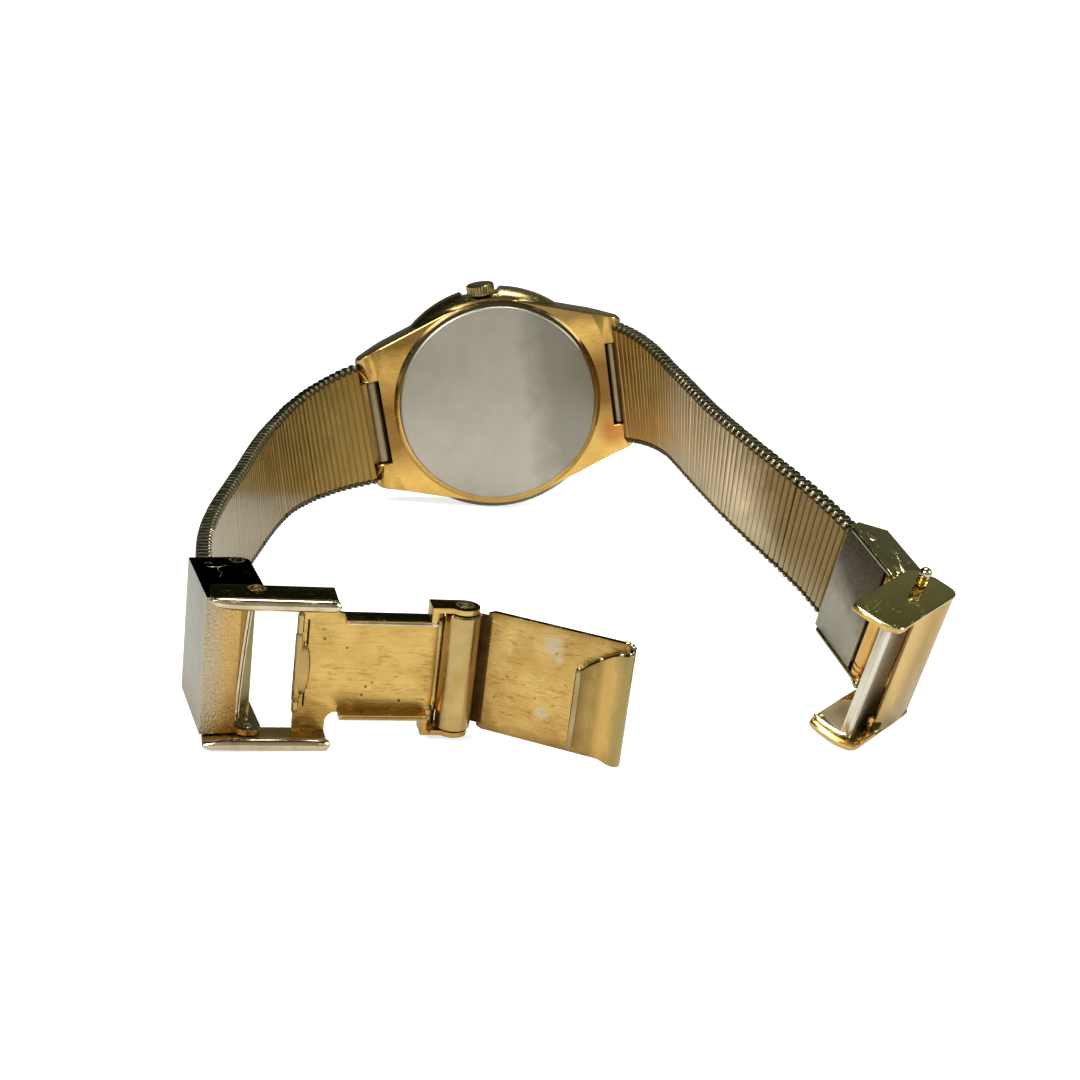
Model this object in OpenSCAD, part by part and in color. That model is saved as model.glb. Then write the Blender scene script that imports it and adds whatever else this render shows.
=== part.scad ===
// Analog quartz wristwatch on a fine-ribbed metal bracelet with a fold-over clasp.
// The watch lies on the nine o'clock side of its case with the bracelet open, and +Z is up.
// The origin is the centre of the case back's outer face, whose normal is -Y.
// In the case's own axes X points to twelve o'clock, Y to the dial side and Z to the crown.
// Along each half of the bracelet X runs away from the case, Z along the width of the band.

/* [Case] */
// Radius of the round case back
back_r = 13.5; // [13.3:0.1:13.8]
// Thickness of the case back's plate
back_t = 0.6; // [0.4:0.05:0.8]
// Radius of the case's round outline
case_r = 15.5; // [15.2:0.1:16]
// Length from lug tip to lug tip
lug_span = 36.6; // [36.2:0.1:37.2]
// Height of the case middle, from its rear face to its bezel
case_h = 5.5; // [5.4:0.05:5.8]
// Radius of the cavity that holds the movement
cavity_r = 12.5; // [12.4:0.05:12.6]
// Angle by which the case is rolled on its edge, in degrees
case_roll = 13.5; // [12:0.1:15]
// Radius of the crown
crown_r = 1.9; // [1.6:0.1:2]
// Length of the crown
crown_h = 1.5; // [1.3:0.1:2]
// Depth of the crown's bore over its tube, which is also how far the crown pulls out
crown_pull = 0.8; // [0.5:0.1:0.9]

/* [Crystal and dial] */
// Radius of the crystal
crystal_r = 12.6; // [12.5:0.05:12.8]
// Thickness of the crystal
crystal_t = 1.0; // [0.8:0.1:1.2]
// Thickness of the dial
dial_t = 0.3; // [0.2:0.05:0.35]
// Length of the hour hand from the centre
hour_len = 7; // [5:0.1:8]
// Length of the minute hand from the centre
minute_len = 10.2; // [8:0.1:10.8]
// Length of the seconds hand from the centre
second_len = 10.8; // [8:0.1:11]

/* [Movement] */
// Wall of the ring that holds the movement in the case
ring_wall = 0.9; // [0.8:0.05:1.1]
// Radius of the button cell
cell_r = 3.95; // [3.4:0.05:4]
// Height of the button cell
cell_h = 1.3; // [1.1:0.05:1.3]
// Radius of the fourth wheel, which carries the seconds hand
fourth_r = 2.4; // [2.3:0.05:2.45]
// Running clearance of a pivot in its hole
pivot_gap = 0.02; // [0.015:0.005:0.04]

/* [Bracelet] */
// Width of the band at the lugs
band_w_lug = 16.8; // [16.4:0.1:17.2]
// Width of the band a quarter of the way along
band_w_quarter = 12.8; // [12.4:0.1:13.4]
// Width of the band at the clasp
band_w_end = 12.1; // [11.8:0.1:12.3]
// Thickness of the band
band_t = 1.6; // [1.4:0.1:1.7]
// Distance from rib to rib
pitch = 1.0; // [0.98:0.01:1.03]
// Width of one rib
rib_w = 0.82; // [0.76:0.02:0.86]
// Number of ribs in the half at six o'clock
ribs_6 = 68; // [66:1:69]
// Number of ribs in the half at twelve o'clock
ribs_12 = 57; // [55:1:58]
// Radius of the band's hinge pins
pin_r = 0.25; // [0.2:0.01:0.28]
// Gap inside the lugs
lug_gap = 11.6; // [11:0.1:12]
// Radius of a lug spring bar
bar_r = 0.7; // [0.5:0.05:0.75]

/* [Clasp] */
// Thickness of the clasp's sheet metal
sheet = 0.5; // [0.4:0.05:0.55]
// Length of the cover's outer plate
cover_l = 10.8; // [10.4:0.1:11.2]
// Height of the cover's side flanges
cover_h = 5.8; // [5.4:0.1:6]
// Distance from the frame's pivot to the hook plate's hinge
frame_l = 19.6; // [19:0.1:20.5]
// Width of the hook plate
hook_w = 12.4; // [11.8:0.1:12.6]
// Length of the hook plate from its hinge
hook_l = 17; // [16:0.1:18]
// Length of the catch from its pivot
catch_l = 9.2; // [8.8:0.1:9.8]

/* [Hidden] */
$fn = 48;
eps = 0.01;
SEGMENTS_6 = 7;
SEGMENTS_12 = 5;

// The band's route: turn in its own plane per rib, sideways lean per rib and twist per rib
lug_turn_6 = 22.4;
lug_turn_12 = 62.56;
turns_6 = [[0, 3.73], [0.25, 1.53], [0.5, -0.18], [0.75, 0.69], [1, 1.03]];
turns_12 = [[0, 2.58], [0.25, 0.3], [0.5, -0.77], [0.75, -0.53], [1, 1.59]];
lean_6 = -0.0825;
lean_12 = 0.3432;
twist_6 = -0.212;
twist_12 = -0.195;
cover_turn = 4.8;
frame_turn = 82.84;
hook_turn = -32.73;
catch_turn = -65;

// Case levels along the case's Y axis
case_y0 = back_t;
case_y1 = case_y0 + case_h;
rim_y = 1.5;
dial_y = 4.0;
dial_y1 = dial_y + dial_t;
flange_r = cavity_r - 0.8;
hour_y = dial_y1 + 0.2;
minute_y = hour_y + 0.26;
second_y = minute_y + 0.28;
arbor_top = second_y + 0.21;
crystal_y = arbor_top + 0.05;
seat_r = crystal_r + 0.2;
lug_bar_x = lug_span / 2 - 1.65;
lug_bar_y = 2.0;
lug_nose_r = 1.65;
lug_w = band_w_lug + 1.2;
back_bevel = 1.1;
bevel_h = 1.9;
gap_wall_x = lug_bar_x - 1.3;
stem_y = 2.5;
stem_r = 0.45;
tube_r = 0.9;
crown_z = case_r - 0.55;

// Movement levels and places
plate_r = cavity_r - ring_wall;
plate_y0 = 3.0;
plate_y1 = dial_y;
recess_y = 3.4;
bridge_y0 = 1.6;
bridge_y1 = 1.85;
arbor_r = 0.15;
cannon_r = 0.36;
cannon_bore = 0.2;
hour_tube_r = 0.65;
hour_tube_bore = 0.42;
third_r = 2.55;
third_pinion_r = 0.32;
centre_wheel_r = 2.56;
fourth_pinion_r = 0.34;
mesh = 0.07;
third_d = fourth_pinion_r + third_r + mesh;
third_at = [-third_d * cos(40), third_d * sin(40)];
mid_pinion_r = 0.48;
mid_wheel_r = 1.6;
mid_d = fourth_r + mid_pinion_r + mesh;
mid_at = [mid_d * cos(45), mid_d * sin(45)];
rotor_pinion_r = 0.27;
rotor_d = mid_d + mid_wheel_r + rotor_pinion_r + mesh;
rotor_at = [rotor_d * cos(45), rotor_d * sin(45)];
rotor_r = 0.65;
rotor_hole_r = 0.85;
cannon_pinion_r = 0.5;
minute_wheel_r = 1.5;
minute_d = cannon_pinion_r + minute_wheel_r + mesh;
minute_at = [minute_d * cos(45), -minute_d * sin(45)];
minute_pinion_r = 0.4;
hour_wheel_r = minute_d - minute_pinion_r - mesh;
cell_d = plate_r - cell_r - 0.05;
cell_at = [-cell_d * cos(39.4), -cell_d * sin(39.4)];
coil_x = plate_r - 3.6;
coil_z = 2.0;
coil_l = 7;
coil_y = 1.75;
board_y = 2.7;
screw_at = [[-6.2, 3.4], [4.4, -1.6], [0.2, -5.2]];
screw_r = 0.4;
hour_turn = 305;
minute_turn = 62;
second_turn = 210;

// Band details
knuckles = 5;
knuckle_gap = 0.12;
web_t = 0.8;
link_l = 2.2;
link_r = 1.0;
pivot_r = 0.5;
pivot_clear = 0.05;

// Clasp details: each piece is as wide as what it closes round, its two walls and a gap
cover_w = band_w_end + 2 * (sheet + 0.32);
frame_w = cover_w + 2 * (sheet + 0.13);
tail_w = band_w_end + 2 * (sheet + 0.6);
catch_w = tail_w + 2 * (sheet + 0.45);
cover_x0 = -2.0;
cover_y0 = -1.6;
lip_h = 3.25;
frame_at = [cover_x0 + cover_l - 0.4, cover_y0 + cover_h - 1.2];
arm_x0 = -4.25;
arm_x1 = 7.3;
arm_y0 = -3.0;
arm_y1 = 1.0;
window_x = 4.2;
rivet_l = 1.6;
roll_gap = 0.15;
neck_w = 10.2;
neck_x = 8.4;
neck_rim = 2.4;
ear_x = frame_l - 3.2;
ear_w = hook_w + 0.8;
roll_r = 1.75;
hook_y = -0.5;
lip_back = 4.9;
lip_w = 10.6;
hook_gap = 1.2;
tail_out = 2.4;
tail_in = -1.3;
tail_l = 9.2;
tail_block = 4.6;
tail_pin_x = 2.4;
end_roll_x = 0.9;
catch_at = [tail_l + 2.2, 0];
tail_bar_at = [tail_l - 0.9, -0.4];
tail_bar_r = 1.1;
catch_x0 = -3.4;
catch_web = 3.2;
catch_depth = 6.0;
catch_round = 6.2;
strip_w = catch_w - 2 * sheet - 0.3;
strip_web = 1.4;
strip_x0 = 2.6;
web_l = 6.4;
tip_out = 2.0;

// Matrices that carry a frame along, across or round
function move_m(x, y = 0, z = 0) = [[1, 0, 0, x], [0, 1, 0, y], [0, 0, 1, z], [0, 0, 0, 1]];
function turn_x(a) = [[1, 0, 0, 0], [0, cos(a), -sin(a), 0], [0, sin(a), cos(a), 0], [0, 0, 0, 1]];
function turn_y(a) = [[cos(a), 0, sin(a), 0], [0, 1, 0, 0], [-sin(a), 0, cos(a), 0], [0, 0, 0, 1]];
function turn_z(a) = [[cos(a), -sin(a), 0, 0], [sin(a), cos(a), 0, 0], [0, 0, 1, 0], [0, 0, 0, 1]];

case_m = turn_y(-case_roll);

// Frames of the ribs of one half: side is -1 at six o'clock and 1 at twelve o'clock
function lug_frame(side) = side < 0
    ? case_m * move_m(-lug_bar_x, lug_bar_y) * turn_z(180 + lug_turn_6)
    : case_m * move_m(lug_bar_x, lug_bar_y) * turn_z(-lug_turn_12);
function rib_turn(side, i) = side < 0
    ? lookup((i + 0.5) / ribs_6, turns_6)
    : -lookup((i + 0.5) / ribs_12, turns_12);
function rib_step(side, i) = turn_z(rib_turn(side, i)) * turn_y(side < 0 ? lean_6 : lean_12)
    * turn_x(side < 0 ? twist_6 : twist_12) * move_m(pitch);
function frames(side, n, i = 0, m = undef) =
    let (here = is_undef(m) ? lug_frame(side) * move_m(link_l) : m)
    i == n ? [here] : concat([here], frames(side, n, i + 1, here * rib_step(side, i)));

frames_6 = frames(-1, ribs_6);
frames_12 = frames(1, ribs_12);
cover_m = frames_6[ribs_6] * move_m(end_roll_x) * turn_z(cover_turn);
frame_m = cover_m * move_m(frame_at[0], frame_at[1]) * turn_z(frame_turn);
hook_m = frame_m * move_m(frame_l, hook_y) * turn_z(hook_turn);
tail_m = frames_12[ribs_12];
catch_m = tail_m * move_m(catch_at[0], catch_at[1]) * turn_z(catch_turn);

function band_w(s) = lookup(s, [[0, band_w_lug], [0.25, band_w_quarter],
    [0.5, band_w_end - 0.1], [1, band_w_end]]);
function hinge_rib(j, n, segments) = round(j * n / segments);

// A round or outlined layer of the case between two levels along its Y axis
module layer(y0, y1) translate([0, y1, 0]) rotate([90, 0, 0]) linear_extrude(y1 - y0) children();
module disc(r, y0, y1, at = [0, 0]) layer(y0, y1) translate(at) circle(r);
module ring(r, bore, y0, y1, at = [0, 0]) layer(y0, y1) translate(at) difference() {
    circle(r);
    circle(bore);
}
module in_case() multmatrix(case_m) children();

// Outline of both pairs of lugs seen from the back, drawn in to a waist inside the round case
module lug_outline(grow = 0) {
    r = case_r - back_bevel + grow;
    x = lug_bar_x + lug_nose_r + grow;
    z = lug_w / 2 + grow;
    reach = norm([x, z]);
    a = atan2(z, x) + acos(r / reach);
    t = [r * cos(a), r * sin(a)];
    polygon([[x, z], t, [-t[0], t[1]], [-x, z], [-x, -z], [-t[0], -t[1]], [t[0], -t[1]], [x, -z]]);
}

// Side view of the lugs: the body of the case with a round nose at each spring bar
module lug_side() {
    body_x = lug_bar_x - 1.1;
    translate([-body_x, case_y0]) square([2 * body_x, case_h]);
    for (k = [0, 1]) mirror([k, 0]) {
        translate([lug_bar_x, lug_bar_y]) circle(lug_nose_r);
        polygon([[body_x - 1, case_y0], [lug_bar_x, lug_bar_y - lug_nose_r],
            [lug_bar_x + 0.9, lug_bar_y + 1.35], [body_x, case_y1 - 0.6], [body_x - 1, case_y1 - 0.6]]);
    }
}

module case_middle() color("goldenrod") in_case() difference() {
    intersection() {
        union() {
            layer(case_y0 - 0.4, case_y0 + 0.5) lug_outline(-0.5);
            layer(case_y0 + 0.5, case_y1 - 0.9) lug_outline();
            translate([0, case_y0 + bevel_h, 0]) rotate([90, 0, 0])
                cylinder(h = bevel_h, r1 = case_r, r2 = case_r - back_bevel, $fn = 96);
            disc(case_r, case_y0 + bevel_h, case_y1 - 0.9);
            disc(case_r - 0.9, case_y1 - 0.9, case_y1 - 0.3);
            disc(case_r - 1.4, case_y1 - 0.3, case_y1);
        }
        linear_extrude(40, center = true) lug_side();
    }
    disc(cavity_r, case_y0 - 1, dial_y1);
    disc(flange_r, dial_y1 - 1, case_y1 + 1);
    disc(seat_r, crystal_y, case_y1 + 1);
    for (s = [-1, 1]) {
        translate([s * (gap_wall_x + lug_span / 2), lug_bar_y, 0])
            cube([lug_span, lug_span, lug_gap], center = true);
        translate([s * lug_bar_x, lug_bar_y, 0])
            cylinder(h = lug_gap + 3, r = bar_r - 0.3, center = true);
    }
    translate([0, stem_y, cavity_r - 1]) cylinder(h = case_r - cavity_r + 2, r = tube_r);
    translate([-crown_r - 0.4, case_y0 - 1, crown_z - 0.15]) cube([2 * crown_r + 0.8, case_h + 2, 4]);
}

module crystal() color("lightcyan", 0.4) in_case() {
    disc(crystal_r - 0.15, crystal_y + crystal_t - 0.15, crystal_y + crystal_t);
    disc(crystal_r, crystal_y, crystal_y + crystal_t - 0.15);
}

module crystal_gasket() color("dimgray") in_case()
    ring(seat_r, crystal_r, crystal_y, case_y1 - 0.1);

module case_back() color("silver") in_case() {
    disc(back_r - 0.2, 0, 0.2);
    disc(back_r, 0.2, back_t);
    ring(cavity_r - 0.35, cavity_r - 0.85, back_t - eps, rim_y);
}

module case_back_gasket() color("black") in_case()
    ring(cavity_r, cavity_r - 0.35, back_t + 0.15, back_t + 0.7);

module movement_ring() color("white") in_case() difference() {
    ring(cavity_r, plate_r + 0.05, rim_y, dial_y);
    translate([0, stem_y, plate_r - 2]) cylinder(h = ring_wall + 4, r = stem_r + 0.15);
}

module dial() color("ivory") in_case()
    ring(cavity_r - 0.1, hour_tube_r + 0.12, dial_y, dial_y1);

module dial_markers() color("gold") in_case()
    for (k = [0 : 11]) rotate([0, -30 * k, 0]) {
        len = k % 3 == 0 ? 2.0 : 1.4;
        translate([flange_r - 0.9 - len, dial_y1, -0.2]) cube([len, 0.12, 0.4]);
    }

// Hole for a wheel's pivot, through whatever is cut with it
module pivot_hole(at, y0, y1) disc(arbor_r - 0.05 + pivot_gap, y0, y1, at);

module main_plate() color("peru") in_case() {
    difference() {
        disc(plate_r, plate_y0, plate_y1);
        disc(hour_wheel_r + 0.35, recess_y, plate_y1 + 1);
        disc(minute_wheel_r + 0.25, recess_y, plate_y1 + 1, minute_at);
        disc(cannon_r + 0.08, plate_y0 - 1, plate_y1);
        for (at = [third_at, mid_at, rotor_at]) pivot_hole(at, plate_y0 - 1, plate_y1 - 0.3);
        pivot_hole(minute_at, plate_y0 - 1, plate_y1);
    }
    for (at = screw_at) ring(0.8, screw_r, bridge_y1, plate_y0 + eps, at);
}

module train_bridge() color("silver") in_case() difference() {
    layer(bridge_y0, bridge_y1) {
        circle(2.2);
        for (at = [third_at, mid_at, rotor_at]) translate(at) circle(1.1);
        for (at = screw_at) translate(at) circle(1.0);
        for (at = [third_at, mid_at, rotor_at, screw_at[0], screw_at[1], screw_at[2]])
            rotate(atan2(at[1], at[0])) translate([0, -0.6]) square([norm(at), 1.2]);
    }
    for (at = [[0, 0], third_at, mid_at, rotor_at]) pivot_hole(at, 0, plate_y0);
    for (at = screw_at) disc(screw_r, 0, plate_y0, at);
}

module bridge_screws() color("lightgray") in_case() for (at = screw_at) difference() {
    union() {
        disc(screw_r, bridge_y0, plate_y0 - 0.1, at);
        disc(0.75, bridge_y0 - 0.3, bridge_y0, at);
    }
    layer(0, bridge_y0 - 0.15) translate(at) square([1.6, 0.22], center = true);
}

module circuit_board() color("green") in_case() layer(board_y, plate_y0)
    polygon([[2.6, -8.6], [8.2, -5.6], [8.2, -2.4], [3.4, -3.2], [2.6, -4.4]]);

module quartz_can() color("silver") in_case()
    translate([6.0, board_y - 0.6, -5.6]) rotate([0, 35, 0]) cylinder(h = 3.2, r = 0.6, center = true);

module battery() color("lightsteelblue") in_case() {
    disc(cell_r, plate_y0 - 0.05 - cell_h + 0.25, plate_y0 - 0.05, cell_at);
    disc(cell_r - 0.5, plate_y0 - 0.05 - cell_h, plate_y0 - 0.05 - cell_h + 0.25, cell_at);
}

module battery_strap() color("gainsboro") in_case() difference() {
    y1 = plate_y0 - 0.05 - cell_h;
    union() {
        layer(y1 - 0.15, y1) translate(cell_at) rotate(-50) translate([-4.8, -0.7]) square([9.6, 1.4]);
        for (s = [-1, 1]) layer(y1 - 0.15, plate_y0) translate(cell_at) rotate(-50)
            translate([s * 4.55 - 0.35, -0.7]) square([0.7, 1.4]);
    }
    disc(0.4, 0, y1 + 0.1, cell_at);
}

module coil() color("orangered") in_case() translate([coil_x, coil_y, coil_z]) {
    difference() {
        cylinder(h = coil_l, r = 0.9, center = true);
        cube([0.8, 0.5, coil_l + 2], center = true);
    }
    for (s = [-1, 1]) translate([0, 0, s * (coil_l / 2 + 0.1)]) difference() {
        cube([1.8, 1.7, 0.2], center = true);
        cube([0.8, 0.5, 1], center = true);
    }
}

module stator() color("slategray") in_case() difference() {
    union() {
        translate([coil_x, coil_y, coil_z]) cube([0.8, 0.5, coil_l + 1.4], center = true);
        for (s = [-1, 1]) translate([coil_x - 0.4, coil_y - 0.25, coil_z + s * (coil_l / 2 + 0.45) - 0.25])
            cube([0.8, plate_y0 - coil_y + 0.25, 0.5]);
        layer(plate_y0 - 0.3, plate_y0) difference() {
            union() {
                translate(rotor_at) circle(1.5);
                for (s = [-1, 1]) {
                    far = [coil_x, coil_z + s * (coil_l / 2 + 0.45)] - rotor_at;
                    translate(rotor_at) rotate(atan2(far[1], far[0]))
                        translate([0, -0.5]) square([norm(far), 1]);
                }
            }
            translate(rotor_at) circle(rotor_hole_r);
        }
    }
}

module crown_tube() color("gold") in_case() translate([0, stem_y, cavity_r]) difference() {
    cylinder(h = crown_z + crown_pull - 0.25 - cavity_r, r = tube_r);
    translate([0, 0, -1]) cylinder(h = 6, r = stem_r + 0.05);
}

module lug_bars() color("gray") in_case() for (s = [-1, 1]) translate([s * lug_bar_x, lug_bar_y, 0]) {
    cylinder(h = lug_gap - 0.4, r = bar_r, center = true);
    cylinder(h = lug_gap + 2.2, r = bar_r - 0.3, center = true);
}

module setting_lever() color("silver") in_case() difference() {
    translate([-1.6, stem_y - 0.8, 9.0 - 0.12]) cube([2.6, 1.2, 0.24]);
    translate([0, stem_y, 8]) cylinder(h = 2, r = 0.3);
    translate([-0.3, stem_y - 2, 8]) cube([0.6, 2, 2]);
}

module stem() color("silver") in_case() translate([0, stem_y, 0]) difference() {
    translate([0, 0, 7.6]) cylinder(h = crown_z + 1.05 - 7.6, r = stem_r);
    translate([0, 0, 8.8]) difference() {
        cylinder(h = 0.4, r = 1);
        translate([0, 0, -1]) cylinder(h = 3, r = 0.25);
    }
}

module crown() color("goldenrod") in_case() translate([0, stem_y, crown_z]) difference() {
    union() {
        cylinder(h = crown_h - 0.2, r = crown_r - 0.12);
        translate([0, 0, crown_h - 0.2 - eps]) cylinder(h = 0.2 + eps, r = crown_r - 0.35);
        for (k = [0 : 23]) rotate(15 * k) translate([crown_r - 0.2, -0.12, 0.1]) cube([0.2, 0.24, crown_h - 0.4]);
    }
    translate([0, 0, -1]) cylinder(h = 1 + crown_pull, r = tube_r + 0.4);
    cylinder(h = 1.05, r = stem_r);
}

module crown_gasket() color("black") in_case() translate([0, stem_y, crown_z + 0.1]) difference() {
    cylinder(h = 0.35, r = tube_r + 0.4);
    translate([0, 0, -1]) cylinder(h = 2, r = tube_r + 0.03);
}

// A toothed wheel whose tips reach r
module wheel(r, teeth, y0, y1, bore, at = [0, 0]) layer(y0, y1) translate(at) difference() {
    union() {
        circle(r - 0.12);
        for (k = [0 : teeth - 1]) rotate(360 * k / teeth) translate([r - 0.2, -0.1]) square([0.2, 0.2]);
    }
    circle(bore);
}
module arbor(at, y0, y1, body0, body1) {
    disc(arbor_r - 0.05, y0, y1, at);
    disc(arbor_r, body0, body1, at);
}

module rotor() color("darkgray") in_case() {
    arbor(rotor_at, bridge_y0, plate_y1 - 0.4, bridge_y1 + 0.05, plate_y0 - 0.05);
    ring(rotor_pinion_r, arbor_r - eps, 2.3, 2.5, rotor_at);
    ring(rotor_r, arbor_r - eps, 2.6, plate_y0 - 0.05, rotor_at);
}
module intermediate_wheel() color("whitesmoke") in_case() {
    arbor(mid_at, bridge_y0, plate_y1 - 0.4, bridge_y1 + 0.05, plate_y0 - 0.05);
    ring(mid_pinion_r, arbor_r - eps, 2.0, 2.3, mid_at);
    wheel(mid_wheel_r, 24, 2.3, 2.5, arbor_r - eps, mid_at);
}
module fourth_wheel() color("gold") in_case() {
    disc(arbor_r - 0.05, bridge_y0, bridge_y1 + 0.1);
    disc(arbor_r, bridge_y1 + 0.05, arbor_top);
    ring(fourth_pinion_r, arbor_r - eps, 2.25, 2.55);
    wheel(fourth_r, 30, 2.0, 2.25, arbor_r - eps);
}
module third_wheel() color("whitesmoke") in_case() {
    arbor(third_at, bridge_y0, plate_y1 - 0.4, bridge_y1 + 0.05, plate_y0 - 0.05);
    wheel(third_r, 36, 2.3, 2.5, arbor_r - eps, third_at);
    ring(third_pinion_r, arbor_r - eps, 2.5 - eps, 2.85, third_at);
}
module centre_wheel() color("whitesmoke") in_case() {
    wheel(centre_wheel_r, 36, 2.6, 2.8, cannon_bore);
    ring(cannon_r, cannon_bore, 2.8 - eps, minute_y + 0.19);
    ring(cannon_pinion_r, cannon_bore, recess_y + 0.1, recess_y + 0.3);
}
module minute_wheel() color("whitesmoke") in_case() {
    disc(arbor_r - 0.05, plate_y0 + 0.1, plate_y1 - 0.1, minute_at);
    wheel(minute_wheel_r, 24, recess_y + 0.1, recess_y + 0.3, arbor_r - 0.06, minute_at);
    ring(minute_pinion_r, arbor_r - 0.06, recess_y + 0.3 - eps, recess_y + 0.52, minute_at);
}
module hour_wheel() color("whitesmoke") in_case() {
    wheel(hour_wheel_r, 24, recess_y + 0.36, recess_y + 0.52, hour_tube_bore);
    ring(hour_tube_r, hour_tube_bore, recess_y + 0.52 - eps, hour_y + 0.16);
}

// A tapered hand that points along its own X axis
module hand(reach, tail, root, tip, boss, bore, y0, y1, at_turn) rotate([0, -at_turn, 0]) layer(y0, y1)
    difference() {
        union() {
            polygon([[-tail, -root / 2], [-tail, root / 2], [reach, tip / 2], [reach, -tip / 2]]);
            circle(boss);
        }
        circle(bore);
    }
module hour_hand() color("gold") in_case()
    hand(hour_len, 1.6, 1.0, 0.6, 1.0, hour_tube_r, hour_y, hour_y + 0.12, hour_turn);
module minute_hand() color("gold") in_case()
    hand(minute_len, 1.8, 0.8, 0.45, 0.75, cannon_r, minute_y, minute_y + 0.12, minute_turn);
module second_hand() color("gold") in_case()
    hand(second_len, 3, 0.32, 0.18, 0.4, arbor_r, second_y, second_y + 0.1, second_turn);

// Stadium outline of one rib, seen along the band's width
module rib_outline() {
    square([rib_w, band_t - rib_w], center = true);
    for (s = [-1, 1]) translate([0, s * (band_t - rib_w) / 2]) circle(d = rib_w);
}
module rib(w) linear_extrude(w, center = true) rib_outline();
module web(w) translate([0, -web_t / 2, -w / 2]) cube([pitch + 0.05, web_t, w]);

// Middle of knuckle k, and its length, across a hinge of width w
function knuckle_z(k, w) = (k + 0.5) * w / knuckles - w / 2;
function knuckle_l(w) = w / knuckles - knuckle_gap;

// Knuckles on the pin at the far end of a segment
module pinned_knuckles(w) {
    for (k = [0 : 2 : knuckles - 1]) translate([0, 0, knuckle_z(k, w)]) {
        linear_extrude(knuckle_l(w), center = true) rib_outline();
        translate([-pitch, -web_t / 2, -knuckle_l(w) / 2]) cube([pitch, web_t, knuckle_l(w)]);
    }
    cylinder(h = w - 0.4, r = pin_r, center = true);
}
// Bored knuckles at the near end of the next segment
module bored_knuckles(w) difference() {
    for (k = [1 : 2 : knuckles - 1]) translate([0, 0, knuckle_z(k, w)]) {
        linear_extrude(knuckle_l(w), center = true) rib_outline();
        translate([0, -web_t / 2, -knuckle_l(w) / 2]) cube([pitch, web_t, knuckle_l(w)]);
    }
    cylinder(h = w, r = pin_r + pivot_clear, center = true);
}

// One rigid stretch of the band between two of its hinges
module band_segment(all_frames, n, segments, j) {
    first = hinge_rib(j - 1, n, segments);
    last = hinge_rib(j, n, segments);
    start = j == 1 ? 0 : first + 1;
    stop = last - 1;
    if (j > 1) multmatrix(all_frames[first]) bored_knuckles(band_w(first / n));
    for (i = [start : stop]) multmatrix(all_frames[i]) {
        rib(band_w(i / n));
        if (i < stop) web(band_w(i / n) - 1);
    }
    if (j < segments) multmatrix(all_frames[last]) pinned_knuckles(band_w(last / n));
}
module band_6(j) color("goldenrod") {
    band_segment(frames_6, ribs_6, SEGMENTS_6, j);
    w = band_w_end - 0.7;
    if (j == SEGMENTS_6) multmatrix(frames_6[ribs_6]) difference() {
        union() {
            translate([-pitch, -web_t / 2, -w / 2]) cube([pitch + end_roll_x, web_t, w]);
            translate([end_roll_x, 0, 0]) cylinder(h = w, r = band_t / 2, center = true);
        }
        translate([end_roll_x, 0, 0]) cylinder(h = w + 1, r = pivot_r + pivot_clear, center = true);
    }
}
module band_12(j) color("goldenrod") {
    band_segment(frames_12, ribs_12, SEGMENTS_12, j);
    w = band_w_end - 0.9;
    if (j == SEGMENTS_12) multmatrix(frames_12[ribs_12]) difference() {
        translate([-pitch, tail_in + sheet, -w / 2]) cube([pitch + tail_block, -tail_in - sheet + 0.6, w]);
        translate([tail_pin_x, 0, 0]) cylinder(h = w + 1, r = pivot_r, center = true);
    }
}

module end_link(side) color("goldenrod") multmatrix(lug_frame(side)) difference() {
    union() {
        cylinder(h = lug_gap - 0.6, r = link_r, center = true);
        translate([0, -link_r * 0.7, -(lug_gap - 0.6) / 2])
            cube([link_l - rib_w / 2, link_r * 1.4, lug_gap - 0.6]);
    }
    cylinder(h = lug_gap, r = bar_r + pivot_clear, center = true);
}
module end_link_6() end_link(-1);
module end_link_12() end_link(1);

// A pair of side walls, z0 from the middle and sheet thick, with one outline
module flanges(outer_w) for (s = [-1, 1]) translate([0, 0, s * (outer_w - sheet) / 2])
    linear_extrude(sheet, center = true) children();

module cover() color("silver") multmatrix(cover_m) difference() {
    top = cover_y0 + cover_h;
    x1 = cover_x0 + cover_l;
    union() {
        translate([cover_x0, cover_y0, -cover_w / 2]) cube([cover_l, sheet, cover_w]);
        translate([x1 - sheet, cover_y0, -cover_w / 2 + sheet])
            cube([sheet, lip_h, cover_w - 2 * sheet]);
        flanges(cover_w) difference() {
            union() {
                polygon([[cover_x0, cover_y0], [x1, cover_y0], [x1, frame_at[1]],
                    [frame_at[0], top], [cover_x0 + 0.8, top], [cover_x0, top - 0.8]]);
                translate(frame_at) circle(top - frame_at[1]);
            }
            circle(pivot_r);
            translate(frame_at) circle(pivot_r);
        }
    }
}
module cover_pin() color("gray") multmatrix(cover_m)
    cylinder(h = cover_w, r = pivot_r, center = true);
// Two rivets, one in each flange, so that the window between them is clear
module frame_pin() color("gray") multmatrix(cover_m) translate(frame_at)
    for (s = [-1, 1]) translate([0, 0, s * (frame_w / 2 + 0.15 - rivet_l / 2)])
        cylinder(h = rivet_l, r = pivot_r, center = true);

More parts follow.
